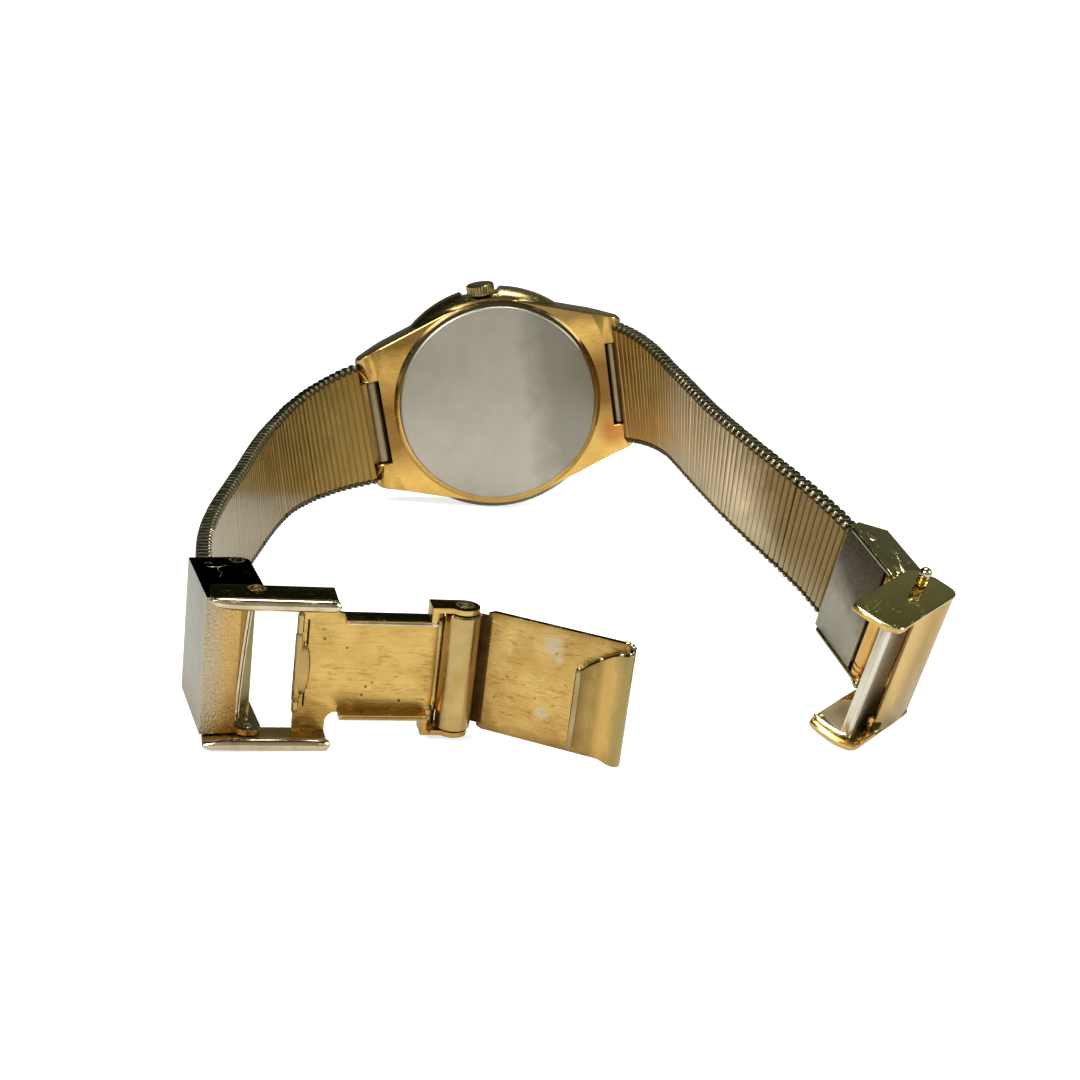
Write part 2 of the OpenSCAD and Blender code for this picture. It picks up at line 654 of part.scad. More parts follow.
module clasp_frame() color("gold") multmatrix(frame_m) difference() {
    union() {
        flanges(frame_w) difference() {
            union() {
                translate([arm_x0 + 1, arm_y0]) square([arm_x1 - arm_x0 - 1, arm_y1 - arm_y0]);
                translate([arm_x0, arm_y0 + 1]) square([2, arm_y1 - arm_y0 - 2]);
                for (y = [arm_y0 + 1, arm_y1 - 1]) translate([arm_x0 + 1, y]) circle(1);
            }
            circle(pivot_r + pivot_clear);
        }
        translate([window_x, arm_y1 - sheet, -frame_w / 2])
            cube([arm_x1 - window_x, sheet, frame_w]);
        translate([arm_x1 - 1, arm_y1 - sheet, -neck_w / 2])
            cube([frame_l - roll_r + roll_gap - arm_x1 + 1, sheet, neck_w]);
        for (s = [-1, 1]) translate([arm_x1 - eps, arm_y1, s * neck_w / 2]) rotate([90, 0, 0])
            linear_extrude(sheet) difference() {
                translate([0, s > 0 ? 0 : -neck_x + arm_x1]) square(neck_x - arm_x1);
                translate([neck_x - arm_x1, s * (neck_x - arm_x1)]) circle(neck_x - arm_x1);
            }
        for (s = [-1, 1]) translate([neck_x, arm_y1 - neck_rim, s * (neck_w - sheet) / 2 - sheet / 2])
            cube([ear_x - neck_x + sheet, neck_rim, sheet]);
        for (s = [-1, 1]) translate([ear_x, arm_y1 - neck_rim, s > 0 ? neck_w / 2 - sheet : -ear_w / 2])
            cube([sheet, neck_rim, (ear_w - neck_w) / 2 + sheet]);
        flanges(ear_w) difference() {
            union() {
                translate([ear_x, arm_y1 - neck_rim]) square([frame_l - ear_x, neck_rim]);
                translate([frame_l, hook_y]) circle(arm_y1 - hook_y);
            }
            translate([frame_l, hook_y]) circle(pivot_r);
        }
        translate([window_x, arm_y1 - sheet - 0.35, -3.2]) cube([sheet, 0.4, 6.4]);
    }
}
module hook_pin() color("gray") multmatrix(frame_m) translate([frame_l, hook_y, 0])
    cylinder(h = ear_w + 0.1, r = pivot_r, center = true);

// Side outline of the hook plate: a roll on the hinge, the plate and its turned-back lip
module hook_side() {
    fold_r = (hook_gap + 2 * sheet) / 2;
    y1 = roll_r;
    circle(roll_r);
    translate([0, y1 - sheet]) square([hook_l - fold_r, sheet]);
}
module hook_fold() {
    fold_r = (hook_gap + 2 * sheet) / 2;
    y_mid = roll_r - fold_r;
    intersection() {
        translate([hook_l - fold_r, y_mid]) difference() {
            circle(fold_r);
            circle(fold_r - sheet);
        }
        translate([hook_l - fold_r, y_mid - 5]) square(10);
    }
    translate([hook_l - lip_back, y_mid - fold_r]) square([lip_back - fold_r, sheet]);
}
module hook_plate() color("gold") multmatrix(hook_m) difference() {
    union() {
        linear_extrude(ear_w - 2 * sheet - 0.3, center = true) circle(roll_r);
        linear_extrude(hook_w - 1.2, center = true)
            translate([0, roll_r - sheet]) square([roll_r + 0.65, sheet]);
        intersection() {
            linear_extrude(hook_w, center = true) hook_side();
            translate([roll_r + roll_gap, -hook_w, -hook_w]) cube([hook_l, 2 * hook_w, 2 * hook_w]);
        }
        linear_extrude(lip_w, center = true) hook_fold();
    }
    cylinder(h = ear_w + 1, r = pivot_r + pivot_clear, center = true);
}

module tail_box() color("goldenrod") multmatrix(tail_m) {
    translate([1.2, tail_out - sheet, -tail_w / 2]) cube([tail_l - 1.2, sheet, tail_w]);
    flanges(tail_w) difference() {
        union() {
            polygon([[0, tail_in], [-0.6, tail_in + 1.1], [1.2, tail_out], [tail_l, tail_out],
                [catch_at[0], catch_at[1] + 1.2], [catch_at[0], catch_at[1] - 1.2], [tail_l, tail_in]]);
            translate(catch_at) circle(1.2);
        }
        translate(catch_at) circle(0.4);
        translate(tail_bar_at) circle(0.4);
        translate([tail_pin_x, 0]) circle(pivot_r);
    }
}
module tail_plate() color("silver") multmatrix(tail_m)
    translate([-pitch / 2, tail_in, -tail_w / 2 + sheet])
        cube([tail_bar_at[0] - tail_bar_r - 0.1 + pitch / 2, sheet, tail_w - 2 * sheet]);
module tail_pin() color("gray") multmatrix(tail_m) translate([tail_pin_x, 0, 0])
    cylinder(h = tail_w, r = pivot_r, center = true);
module tail_bar() color("gold") multmatrix(tail_m) translate([tail_bar_at[0], tail_bar_at[1], 0]) {
    cylinder(h = tail_w - 2 * sheet - 0.4, r = tail_bar_r, center = true);
    cylinder(h = tail_w + 0.4, r = 0.4, center = true);
}
module catch_bar() color("gray") multmatrix(tail_m) translate([catch_at[0], catch_at[1], 0]) {
    cylinder(h = tail_w - 2 * sheet - 0.4, r = 0.7, center = true);
    translate([0, 0, -catch_w / 2]) cylinder(h = catch_w + tip_out - 0.3, r = 0.4);
    translate([0, 0, catch_w / 2 + tip_out - 0.3]) sphere(0.4);
}

module catch_lever() color("gold") multmatrix(catch_m) {
    flanges(catch_w) difference() {
        intersection() {
            translate([catch_x0, catch_web - catch_depth]) square([catch_l - catch_x0, catch_depth]);
            union() {
                translate([catch_l + 0.5 - catch_round, catch_web - catch_depth / 2 - 0.8])
                    circle(catch_round);
                translate([catch_x0, 0]) square([catch_l, catch_depth]);
            }
        }
        circle(0.4 + pivot_clear);
    }
    translate([-2, catch_web - sheet, -catch_w / 2]) cube([web_l, sheet, catch_w]);
}
module catch_strip() color("silver") multmatrix(catch_m) {
    x1 = catch_l - 1.4;
    translate([strip_x0, strip_web - sheet, -strip_w / 2]) cube([x1 - strip_x0, sheet, strip_w]);
    for (s = [-1, 1]) translate([0, 0, s * (catch_w / 2 - sheet - sheet / 2)])
        linear_extrude(sheet, center = true)
            polygon([[strip_x0, strip_web], [strip_x0, -1.2], [strip_x0 + 1.4, -2.1], [x1 - 0.4, -2],
                [x1, strip_web - sheet], [x1, strip_web]]);
}

case_middle();
crystal();
crystal_gasket();
case_back();
case_back_gasket();
movement_ring();
dial();
dial_markers();
main_plate();
train_bridge();
bridge_screws();
circuit_board();
quartz_can();
battery();
battery_strap();
coil();
stator();
crown_tube();
lug_bars();
setting_lever();
stem();
crown();
crown_gasket();
rotor();
intermediate_wheel();
fourth_wheel();
second_hand();
third_wheel();
centre_wheel();
minute_hand();
minute_wheel();
hour_wheel();
hour_hand();
end_link_6();
band_6(1);  // band_6_1
band_6(2);  // band_6_2
band_6(3);  // band_6_3
band_6(4);  // band_6_4
band_6(5);  // band_6_5
band_6(6);  // band_6_6
band_6(7);  // band_6_7
end_link_12();
band_12(1);  // band_12_1
band_12(2);  // band_12_2
band_12(3);  // band_12_3
band_12(4);  // band_12_4
band_12(5);  // band_12_5
cover();
cover_pin();
frame_pin();
clasp_frame();
hook_pin();
hook_plate();
tail_box();
tail_plate();
tail_pin();
tail_bar();
catch_bar();
catch_lever();
catch_strip();
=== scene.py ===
"""A quartz dress watch lying on its side with its ribbed bracelet and fold-over clasp open.

Everything below is built in millimetres in the frame of the piece it belongs to, and is then carried
into the row frame, in metres. The bracelet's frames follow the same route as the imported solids.
"""
import math
import random

import bmesh
import bpy
from mathutils import Matrix, Vector


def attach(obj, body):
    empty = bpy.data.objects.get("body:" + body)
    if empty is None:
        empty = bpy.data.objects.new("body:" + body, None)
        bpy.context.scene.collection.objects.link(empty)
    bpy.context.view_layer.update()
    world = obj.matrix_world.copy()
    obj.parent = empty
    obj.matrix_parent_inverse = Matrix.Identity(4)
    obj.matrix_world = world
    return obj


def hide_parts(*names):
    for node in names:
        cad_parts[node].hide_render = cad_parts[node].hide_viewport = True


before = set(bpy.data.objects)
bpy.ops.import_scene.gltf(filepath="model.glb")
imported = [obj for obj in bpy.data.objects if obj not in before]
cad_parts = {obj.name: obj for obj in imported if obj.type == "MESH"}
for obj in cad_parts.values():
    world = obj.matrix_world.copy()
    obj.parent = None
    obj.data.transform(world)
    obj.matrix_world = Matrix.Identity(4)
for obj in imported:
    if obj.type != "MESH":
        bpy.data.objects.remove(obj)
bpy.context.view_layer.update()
random.seed(11)

MM = 0.001

# Photograph's camera: focal length in pixels of the 1080 pixel frame, place in mm, turn in radians
PHOTO_SIZE = 1080
FOCAL_PX = 1565.94
SENSOR_MM = 36.0
CAMERA_AT = (-29.37, -205.61, 54.70)
CAMERA_YAW, CAMERA_PITCH, CAMERA_ROLL = -0.1785, 0.3406, 0.1082

# Route of the bracelet: turn in its own plane, sideways lean and twist, in degrees per rib
CASE_ROLL = 13.5
LUG_AT = (16.65, 2.0)
LINK_L = 2.2
PITCH = 1.0
SIDES = {
    6: dict(ribs=68, segments=7, start=22.4, lean=-0.0825, twist=-0.212,
            turns=(3.73, 1.53, -0.18, 0.69, 1.03)),
    12: dict(ribs=57, segments=5, start=62.56, lean=0.3432, twist=-0.195,
             turns=(2.58, 0.3, -0.77, -0.53, 1.59)),
}
# Widths and corner radii of the ribs, evenly spaced from the case to the clasp
BAND_WIDTHS = (16.8, 12.8, 12.0, 12.05, 12.1)
RIB_ROUND = {6: (0.2, 0.2, 0.16), 12: (0.15, 0.13, 0.16, 0.3, 0.34)}
BAND_T = 1.6

# Clasp: where each piece hinges in the frame of the one before, and its turn there in degrees
SHEET, PIN_R = 0.5, 0.5
COVER_GAP, COVER_TURN = 0.9, 4.8
COVER_PIVOT, FRAME_TURN = (8.4, 3.0), 82.84
HINGE_AT, HOOK_TURN = (19.6, -0.5), -32.73
CATCH_AT, CATCH_TURN = (11.4, 0.0), -65


def move(x, y=0.0, z=0.0):
    return Matrix.Translation((x, y, z))


def turn(degrees, axis):
    return Matrix.Rotation(math.radians(degrees), 4, axis)


def even_lookup(values, u):
    """Straight-line lookup in values that are evenly spaced over 0 to 1."""
    at = min(max(u, 0.0), 1.0) * (len(values) - 1)
    i = min(int(at), len(values) - 2)
    return values[i] + (values[i + 1] - values[i]) * (at - i)


CASE = turn(-CASE_ROLL, "Y")


def lug_frame(hour):
    """The lug's spring bar, turned the way that this half of the bracelet leaves the case."""
    start = SIDES[hour]["start"]
    if hour == 6:
        return CASE @ move(-LUG_AT[0], LUG_AT[1]) @ turn(180 + start, "Z")
    return CASE @ move(LUG_AT[0], LUG_AT[1]) @ turn(-start, "Z")


def rib_frames(hour):
    """A frame for each rib, and one more where the clasp begins."""
    side = SIDES[hour]
    here = lug_frame(hour) @ move(LINK_L)
    made = [here]
    for i in range(side["ribs"]):
        bend = even_lookup(side["turns"], (i + 0.5) / side["ribs"]) * (1 if hour == 6 else -1)
        here = (here @ turn(bend, "Z") @ turn(side["lean"], "Y") @ turn(side["twist"], "X")
                @ move(PITCH))
        made.append(here)
    return made


RIBS = {hour: rib_frames(hour) for hour in SIDES}
COVER = RIBS[6][-1] @ move(COVER_GAP) @ turn(COVER_TURN, "Z")
FRAME = COVER @ move(*COVER_PIVOT) @ turn(FRAME_TURN, "Z")
HOOK = FRAME @ move(*HINGE_AT) @ turn(HOOK_TURN, "Z")
TAIL = RIBS[12][-1]
CATCH = TAIL @ move(*CATCH_AT) @ turn(CATCH_TURN, "Z")


# Colour


def link(obj):
    bpy.context.scene.collection.objects.link(obj)


def tone(r, g, b):
    """A colour as a photograph shows it, 0 to 255, as the linear colour a shader takes."""
    def linear(c):
        c /= 255
        return c / 12.92 if c <= 0.04045 else ((c + 0.055) / 1.055) ** 2.4
    return (linear(r), linear(g), linear(b), 1.0)


class Graph:
    """A short way to write a node tree."""

    def __init__(self, tree):
        self.tree = tree
        tree.nodes.clear()

    def add(self, kind, inputs=None, **settings):
        node = self.tree.nodes.new("ShaderNode" + kind)
        for key, value in settings.items():
            setattr(node, key, value)
        for key, value in (inputs or {}).items():
            self.put(node.inputs[key], value)
        return node

    def put(self, socket, value):
        if isinstance(value, bpy.types.NodeSocket):
            self.tree.links.new(value, socket)
        else:
            socket.default_value = value

    def maths(self, operation, a, b=0.0, clamp=False):
        return self.add("Math", {0: a, 1: b}, operation=operation, use_clamp=clamp).outputs[0]

    def times(self, a, b, clamp=False):
        return self.maths("MULTIPLY", a, b, clamp)

    def plus(self, a, b, clamp=False):
        return self.maths("ADD", a, b, clamp)

    def minus(self, a, b):
        return self.maths("SUBTRACT", a, b)

    def mix(self, factor, a, b):
        node = self.add("Mix", data_type="RGBA")
        for socket, value in ((0, factor), (6, a), (7, b)):
            self.put(node.inputs[socket], value)
        return node.outputs[2]

    def ramp(self, value, low, high):
        return self.add("MapRange", {0: value, 1: low, 2: high}).outputs[0]

    def noise(self, coords, scale, detail=3.0, stretch=(1, 1, 1), rough=0.55, distort=0.0):
        mapped = self.add("Mapping", {"Vector": coords, "Scale": stretch})
        return self.add("TexNoise", {
            "Vector": mapped.outputs[0], "Scale": scale, "Detail": detail,
            "Roughness": rough, "Distortion": distort}).outputs[0]

    def measure(self, operation, a, b):
        return self.add("VectorMath", {0: a, 1: b}, operation=operation).outputs["Value"]

    def near(self, coords, centre, radius):
        """1 at a place, falling to 0 at the radius."""
        return self.ramp(self.measure("DISTANCE", coords, centre), radius, radius * 0.35)

    def seen(self, path):
        """1 for rays that the camera sends, straight or through glass."""
        return self.maths("MAXIMUM", path.outputs["Is Camera Ray"],
                          path.outputs["Is Transmission Ray"])

    def coords(self, source):
        """Millimetres in a piece's own frame, or in its object for pieces that stay as packed."""
        if source == "local":
            return self.add("Attribute", attribute_name="local").outputs["Vector"]
        at = self.add("TexCoord").outputs["Object"]
        return self.add("VectorMath", {0: at, "Scale": 1000.0},
                        operation="SCALE").outputs["Vector"]


# Directions in a piece's own frame
X, Y, Z = Matrix.Identity(3)


def stretched(axis, ratio):
    """Scale that draws a pattern out along one of the local axes."""
    return tuple(1.0 / ratio if a else 1.0 for a in axis)


def new_material(name):
    material = bpy.data.materials.new(name)
    material.use_nodes = True
    return material, Graph(material.node_tree)


BUMP_M = 0.00006
SCRATCH_COLOUR = (116, 78, 34)
PIT_COLOUR = (62, 46, 26)
RUBBED_COLOUR = (186, 176, 148)


def metal(name, colour, second, rough, grain_axis=X, grain=0.1, grain_scale=9.0,
          scratches=0.3, blotches=0.35, pits=0.0, bumpy=0.0, source="local", marks=0.0, fades=(),
          worn=(), colour_spots=(), fine_scale=11.0, tint=(1, 1, 1, 1)):
    """Metal with a drawn-out grain, hairline scratches, colour that drifts, and a few pits.

    Colours are 0 to 255. fades are (direction, low, high, colour, amount) blends across the local
    frame, which most materials below use for painted light and shade; colour_spots are (centre,
    radius, colour, amount) round patches; and worn are (centre, radius) places rubbed through.
    """
    material, g = new_material(name)
    at, second = g.coords(source), tone(*second)
    brushed = g.noise(at, grain_scale, 4.0, stretched(grain_axis, 26.0), 0.65)
    drift = g.noise(at, 0.32, 3.0, distort=0.6)
    fine = g.noise(at, fine_scale, 3.0, rough=0.7)
    across = g.noise(at, 1.9, 5.0, stretched(grain_axis, 9.0), 0.7, 0.4)
    hair = g.ramp(g.maths("ABSOLUTE", g.minus(across, 0.5)), 0.012, 0.0)
    patch = g.ramp(g.noise(at, 0.7, 2.0), 0.48, 0.62)
    hair = g.times(hair, patch, clamp=True)
    out = g.mix(g.times(g.ramp(drift, 0.36, 0.66), blotches), tone(*colour), second)
    for direction, low, high, other, amount in fades:
        shift = g.times(g.minus(drift, 0.5), (high - low) * 0.9)
        mask = g.ramp(g.plus(g.measure("DOT_PRODUCT", at, direction), shift), low, high)
        out = g.mix(g.times(mask, amount), out, tone(*other))
    out = g.mix(g.times(g.ramp(brushed, 0.4, 0.75), grain * 0.5), out, second)
    height = g.minus(g.times(brushed, grain * 0.5), g.times(hair, scratches * 0.5))
    roughness = g.plus(rough - 0.08, g.times(brushed, 0.16))
    roughness = g.plus(roughness, g.times(hair, 0.18), clamp=True)
    if marks:
        streak = g.noise(at, 2.2, 6.0, stretched(grain_axis, 5.0), 0.78, 0.8)
        streak = g.times(g.ramp(streak, 0.56, 0.68), marks)
        out = g.mix(streak, out, tone(*SCRATCH_COLOUR))
        height = g.minus(height, g.times(streak, 0.3))
    for centre, radius, other, amount in colour_spots:
        out = g.mix(g.times(g.near(at, centre, radius), amount), out, tone(*other))
    for centre, radius in worn:
        rubbed = g.times(g.near(at, centre, radius), g.ramp(fine, 0.38, 0.52))
        out = g.mix(rubbed, out, tone(*RUBBED_COLOUR))
        roughness = g.plus(roughness, g.times(rubbed, 0.1))
    if bumpy:
        out = g.mix(g.times(g.ramp(fine, 0.42, 0.6), min(bumpy * 0.1, 0.5)), out, second)
        height = g.plus(height, g.times(fine, bumpy))
    if pits:
        spot = g.add("TexVoronoi", {"Vector": at, "Scale": 0.62, "Randomness": 1.0})
        pit = g.times(g.ramp(spot.outputs["Distance"], 0.12, 0.05), pits)
        out = g.mix(pit, out, tone(*PIT_COLOUR))
        height = g.minus(height, pit)
    bump = g.add("Bump", {"Height": height, "Strength": 0.45, "Distance": BUMP_M})
    shader = g.add("BsdfPrincipled", {
        "Base Color": out, "Metallic": 1.0, "Roughness": roughness,
        "Normal": bump.outputs[0], "Specular Tint": tint})
    g.add("OutputMaterial", {0: shader.outputs[0]})
    return material


SPECKS_PER_M, SPECK_AMOUNT = 3000.0, 0.25


def plain(name, colour, second, rough=0.5, coat=0.0, transmission=0.0):
    """Plastic, rubber, enamel or glass with a little drift in colour and gloss."""
    material, g = new_material(name)
    at = g.add("TexCoord").outputs["Object"]
    grainy = g.noise(at, SPECKS_PER_M, 4.0)
    shader = g.add("BsdfPrincipled", {
        "Base Color": g.mix(g.times(grainy, SPECK_AMOUNT), tone(*colour), tone(*second)),
        "Coat Weight": coat, "Transmission Weight": transmission, "IOR": 1.5,
        "Roughness": g.plus(rough - 0.05, g.times(grainy, 0.1))})
    g.add("OutputMaterial", {0: shader.outputs[0]})
    return material


MAT = {
    # The case's darker top edge and the two large dark spots beside the lug gaps are painted shade;
    # the small spot on the lower right lug tints it orange.
    "case": metal("case_gold", (230, 188, 104), (196, 152, 76), 0.26, scratches=0.1,
        fades=((Z, 8.6, 10.4, (120, 98, 58), 0.8),),
        colour_spots=(((-15.3, 0.6, -1.0), 8.0, (128, 92, 44), 0.9),
        ((15.3, 0.6, 0.5), 7.6, (118, 84, 42), 0.9),
        ((15.4, 0.6, -6.6), 2.8, (176, 104, 40), 0.7))),
    "bezel": metal("bezel_gold", (222, 184, 108), (190, 152, 82), 0.14, X, 0.08),
    # The ring round the back is painted darker towards the top and towards the right: painted shade.
    "case_ring": metal("case_ring_gold", (212, 172, 96), (176, 134, 66), 0.2,
        fades=(((0.1, -1, 0), 0.0, 7.0, (76, 66, 44), 0.95),
        ((1, 0.2, 0), 8.5, 12.0, (110, 84, 46), 0.7))),
    # Darker brown gold for the plates across the lug gaps: painted shade.
    "gap_wall": metal("gap_wall_gold", (166, 130, 68), (112, 82, 40), 0.26, Z, 0.8, grain_scale=2.4,
        blotches=1.0),
    # The flank and crown take this darker olive gold as painted shade.
    "case_edge": metal("case_edge_gold", (142, 126, 82), (108, 94, 58), 0.2),
    # The back is painted darker towards the right as shade, and paler towards its outer face as
    # light.
    "back": metal("back_steel", (182, 177, 163), (164, 160, 148), 0.4, Z, 0.3, grain_scale=7.0,
        scratches=0.25, blotches=0.4,
        fades=(((0.93, 0, 0.36), 3.0, 7.0, (140, 137, 124), 0.8),
        ((0.1, 0, -1), 4.0, 12.0, (200, 192, 170), 0.7))),
    # Left band: its dark gold is painted shade, and its paler tones towards the clasp, near the case
    # and along its lower edge are painted light and reflection.
    "rib_6": metal("rib_gold_left", (128, 108, 58), (150, 124, 66), 0.32, Z, 0.3, grain_scale=6.0,
        blotches=0.6,
        fades=(((1, 0, -2.7), 26.5, 30.0, (152, 142, 116), 1.0), (X, 6.0, 0.0, (158, 126, 64), 0.6),
        (-Z, 3.0, 7.5, (168, 138, 76), 0.5))),
    # Right band: the pale grey-beige from part way along is a painted reflection, the darker brown
    # towards the clasp is painted shade, and the paler lower edge is painted light.
    "rib_12": metal("rib_gold_right", (198, 166, 98), (170, 138, 76), 0.32, Z, 0.3, grain_scale=6.0,
        blotches=0.5,
        fades=(((1, 0, -0.4), 11.0, 19.0, (206, 189, 154), 1.0),
        ((1, 0, 0.7), 36.0, 45.0, (118, 98, 56), 0.95), (-Z, 1.5, 5.5, (166, 150, 116), 0.7))),
    # Dark rib ends next to the beads: painted shade of the groove behind each bead.
    "rib_end": metal("rib_end_metal", (58, 56, 40), (42, 42, 30), 0.34, Z),
    # Bright beads carry a painted highlight; bead_dim is the same bead painted darker as shade.
    "bead": metal("bead_metal", (202, 178, 138), (150, 152, 126), 0.26, Z, blotches=1.0),
    "bead_dim": metal("bead_dim_metal", (112, 106, 78), (86, 88, 66), 0.4, Z),
    # The paler grey-gold of the hook lip's free edge is a painted highlight.
    "lip_edge": metal("lip_edge_gold", (168, 148, 110), (138, 116, 78), 0.2, Z, 0.3, blotches=0.8),
    # Dark brown for the gaps at the hinges, the window's groove and the lever's notch: painted
    # shade.
    "gap_shade": metal("hinge_gap_shade", (96, 70, 36), (40, 28, 16), 0.5, Z, 0.3, blotches=1.0, bumpy=3.0),
    # Pale silver on the gold clasp's edges, wires and glints: painted highlights.
    "highlight": metal("highlight_silver", (206, 190, 160), (170, 150, 112), 0.13, blotches=0.8),
    # Darker gold for the folded sheet behind the cover's lip: painted shade.
    "lip_inner": metal("lip_inner_gold", (150, 118, 62), (110, 84, 44), 0.3, Z, 0.2),
    # Darker olive for the cover's lower wall and the strip behind its lip: painted shade.
    "fold_inner": metal("fold_inner_gold", (132, 124, 88), (100, 92, 60), 0.24, Z, 0.2),
    # The cores between the ribs and in the end links take a darker gold as painted shade of the
    # gaps.
    "rib_core": metal("rib_core_gold", (140, 112, 62), (104, 82, 44), 0.45, Z, 0.25),
    "bar_steel": metal("bar_steel", (156, 140, 110), (116, 102, 78), 0.34, Z, 0.2),
    # The cover is painted darker towards the top, warmer towards the bottom and paler towards its
    # lip: painted shade and reflection.
    "cover": metal("cover_steel", (148, 144, 128), (130, 126, 110), 0.36, Z, 0.2, scratches=0.2,
        bumpy=0.3,
        fades=((Z, 2.5, 7.0, (122, 120, 108), 0.7), (-Z, 3.5, 6.6, (152, 134, 92), 0.7),
        (X, 6.6, 8.6, (166, 156, 126), 0.6))),
    "cover_lip": metal("cover_lip_gold", (198, 164, 100), (170, 136, 80), 0.24, Z, bumpy=5.0,
        fine_scale=3.4, blotches=0.4, scratches=0.0,
        fades=((-Y, -0.6, 0.8, (176, 168, 146), 0.9),
        ((0, 1, -0.22), 1.0, 2.6, (134, 98, 46), 0.8))),
    # Near black for the cover's upper wall and its pin: painted shade.
    "cover_side": metal("cover_side_steel", (36, 38, 34), (22, 24, 22), 0.12, scratches=1.6,
        tint=(0.3, 0.31, 0.28, 1)),
    "frame": metal("frame_gold", (204, 172, 100), (178, 144, 76), 0.28, X, 0.6, grain_scale=5.0,
        scratches=0.9, blotches=0.6, pits=0.9, marks=0.45,
        fades=((-Z, 3.6, 5.4, (170, 128, 60), 0.6),)),
    # Dark gold for the frame's sides and its upper and lower faces: painted shade.
    "frame_side": metal("frame_side_gold", (76, 72, 56), (50, 46, 34), 0.12, X, 0.12, scratches=0.8,
        tint=(0.45, 0.44, 0.38, 1)),
    "roll": metal("roll_gold", (180, 156, 102), (160, 130, 76), 0.24, Z, 0.4, grain_scale=6.0,
        blotches=0.7),
    # The hook's lip takes a darker gold as painted shade, with a painted dark band by its free edge,
    # a painted highlight from its middle on and a painted olive shade at the fold.
    "hook_lip": metal("hook_lip_gold", (158, 134, 78), (138, 110, 58), 0.22, Z, 0.4,
        grain_scale=5.0, blotches=0.8, marks=0.3,
        fades=((-X, -13.3, -12.5, (112, 92, 50), 0.75), (X, 14.0, 14.8, (196, 160, 92), 0.8),
        (X, 15.5, 16.4, (146, 130, 80), 0.9))),
    "hook": metal("hook_gold", (198, 168, 100), (172, 136, 72), 0.28, X, 0.6, grain_scale=5.0,
        scratches=0.7, blotches=0.7, pits=0.5, marks=0.8,
        fades=((Z, 5.3, 6.6, (110, 80, 40), 0.7), (-Z, 5.0, 6.6, (120, 84, 38), 0.8),
        (-X, -4.6, -2.0, (140, 102, 52), 0.7)),
        worn=(((8.9, 1.2, 4.2), 1.3), ((8.6, 1.2, -2.9), 0.9), ((9.6, 1.2, 2.9), 0.6))),
    "tail": metal("tail_gold", (152, 148, 108), (126, 120, 82), 0.14, X, 0.15),
    # The inner plate is painted near black towards its upper part: painted shade.
    "tail_plate": metal("tail_plate_steel", (154, 150, 132), (128, 122, 104), 0.3, Z, 0.3,
        blotches=0.5, bumpy=2.0, fine_scale=4.0,
        fades=(((0.25, 0, 1), -1.0, 3.0, (66, 60, 44), 0.95),)),
    # The lever's web is painted paler towards one end and duller towards the other and its lower
    # edge: painted highlight and shade.
    "lever": metal("lever_gold", (174, 139, 77), (148, 113, 57), 0.2, Z, 0.2, blotches=0.6,
        tint=tone(246, 240, 226),
        fades=((X, 1.8, 4.0, (206, 180, 124), 0.8), (-X, -1.8, 1.2, (156, 132, 78), 0.8),
        (-Z, 3.5, 7.0, (140, 126, 84), 0.6))),
    "lever_side": metal("lever_side_gold", (178, 170, 112), (146, 136, 84), 0.11, X, 0.08),
    # The strip's outward faces take this brighter steel, a painted highlight, darkened away from its
    # edge as painted shade; its other faces take strip_face, duller and warmer towards the bottom as
    # painted shade and reflection.
    "strip": metal("strip_steel", (214, 208, 190), (184, 176, 150), 0.34, Z, 0.25,
        fades=((-X, -7.5, -6.9, (128, 126, 114), 0.8),)),
    "strip_face": metal("strip_face_steel", (184, 182, 172), (152, 148, 134), 0.44, Z, 0.2,
        fades=((-Z, 0.0, 6.0, (176, 160, 120), 0.8),)),
    "pin": metal("pin_steel", (196, 184, 150), (160, 144, 104), 0.16, Z),
    "bar_gold": metal("bar_gold", (214, 172, 98), (166, 122, 64), 0.22, Z, 0.2),
    "brass": metal("movement_brass", (204, 176, 112), (176, 148, 92), 0.4, X, 0.2, source="object"),
    "steel": metal("movement_steel", (190, 190, 188), (160, 160, 160), 0.35, X, 0.3,
        source="object"),
    "hand": metal("hand_gold", (222, 186, 112), (196, 152, 84), 0.2, source="object"),
    "tube": metal("tube_steel", (196, 184, 150), (160, 144, 104), 0.2, Z, source="object"),
    "rubber": plain("seal_rubber", (30, 30, 30), (48, 48, 46), 0.8),
    "plastic": plain("ring_plastic", (232, 230, 222), (214, 212, 204), 0.55),
    "board": plain("board_green", (38, 104, 60), (26, 84, 48), 0.4, coat=0.5),
    "coil": plain("coil_copper", (188, 96, 48), (150, 70, 34), 0.35, coat=0.6),
    "glass": plain("crystal_glass", (250, 252, 252), (244, 248, 248), 0.06, transmission=1.0),
    "dial": plain("dial_enamel", (240, 234, 214), (228, 220, 196), 0.35, coat=0.6),
    "ink": plain("dial_ink", (40, 36, 30), (54, 50, 42), 0.5),
}


# Mesh making


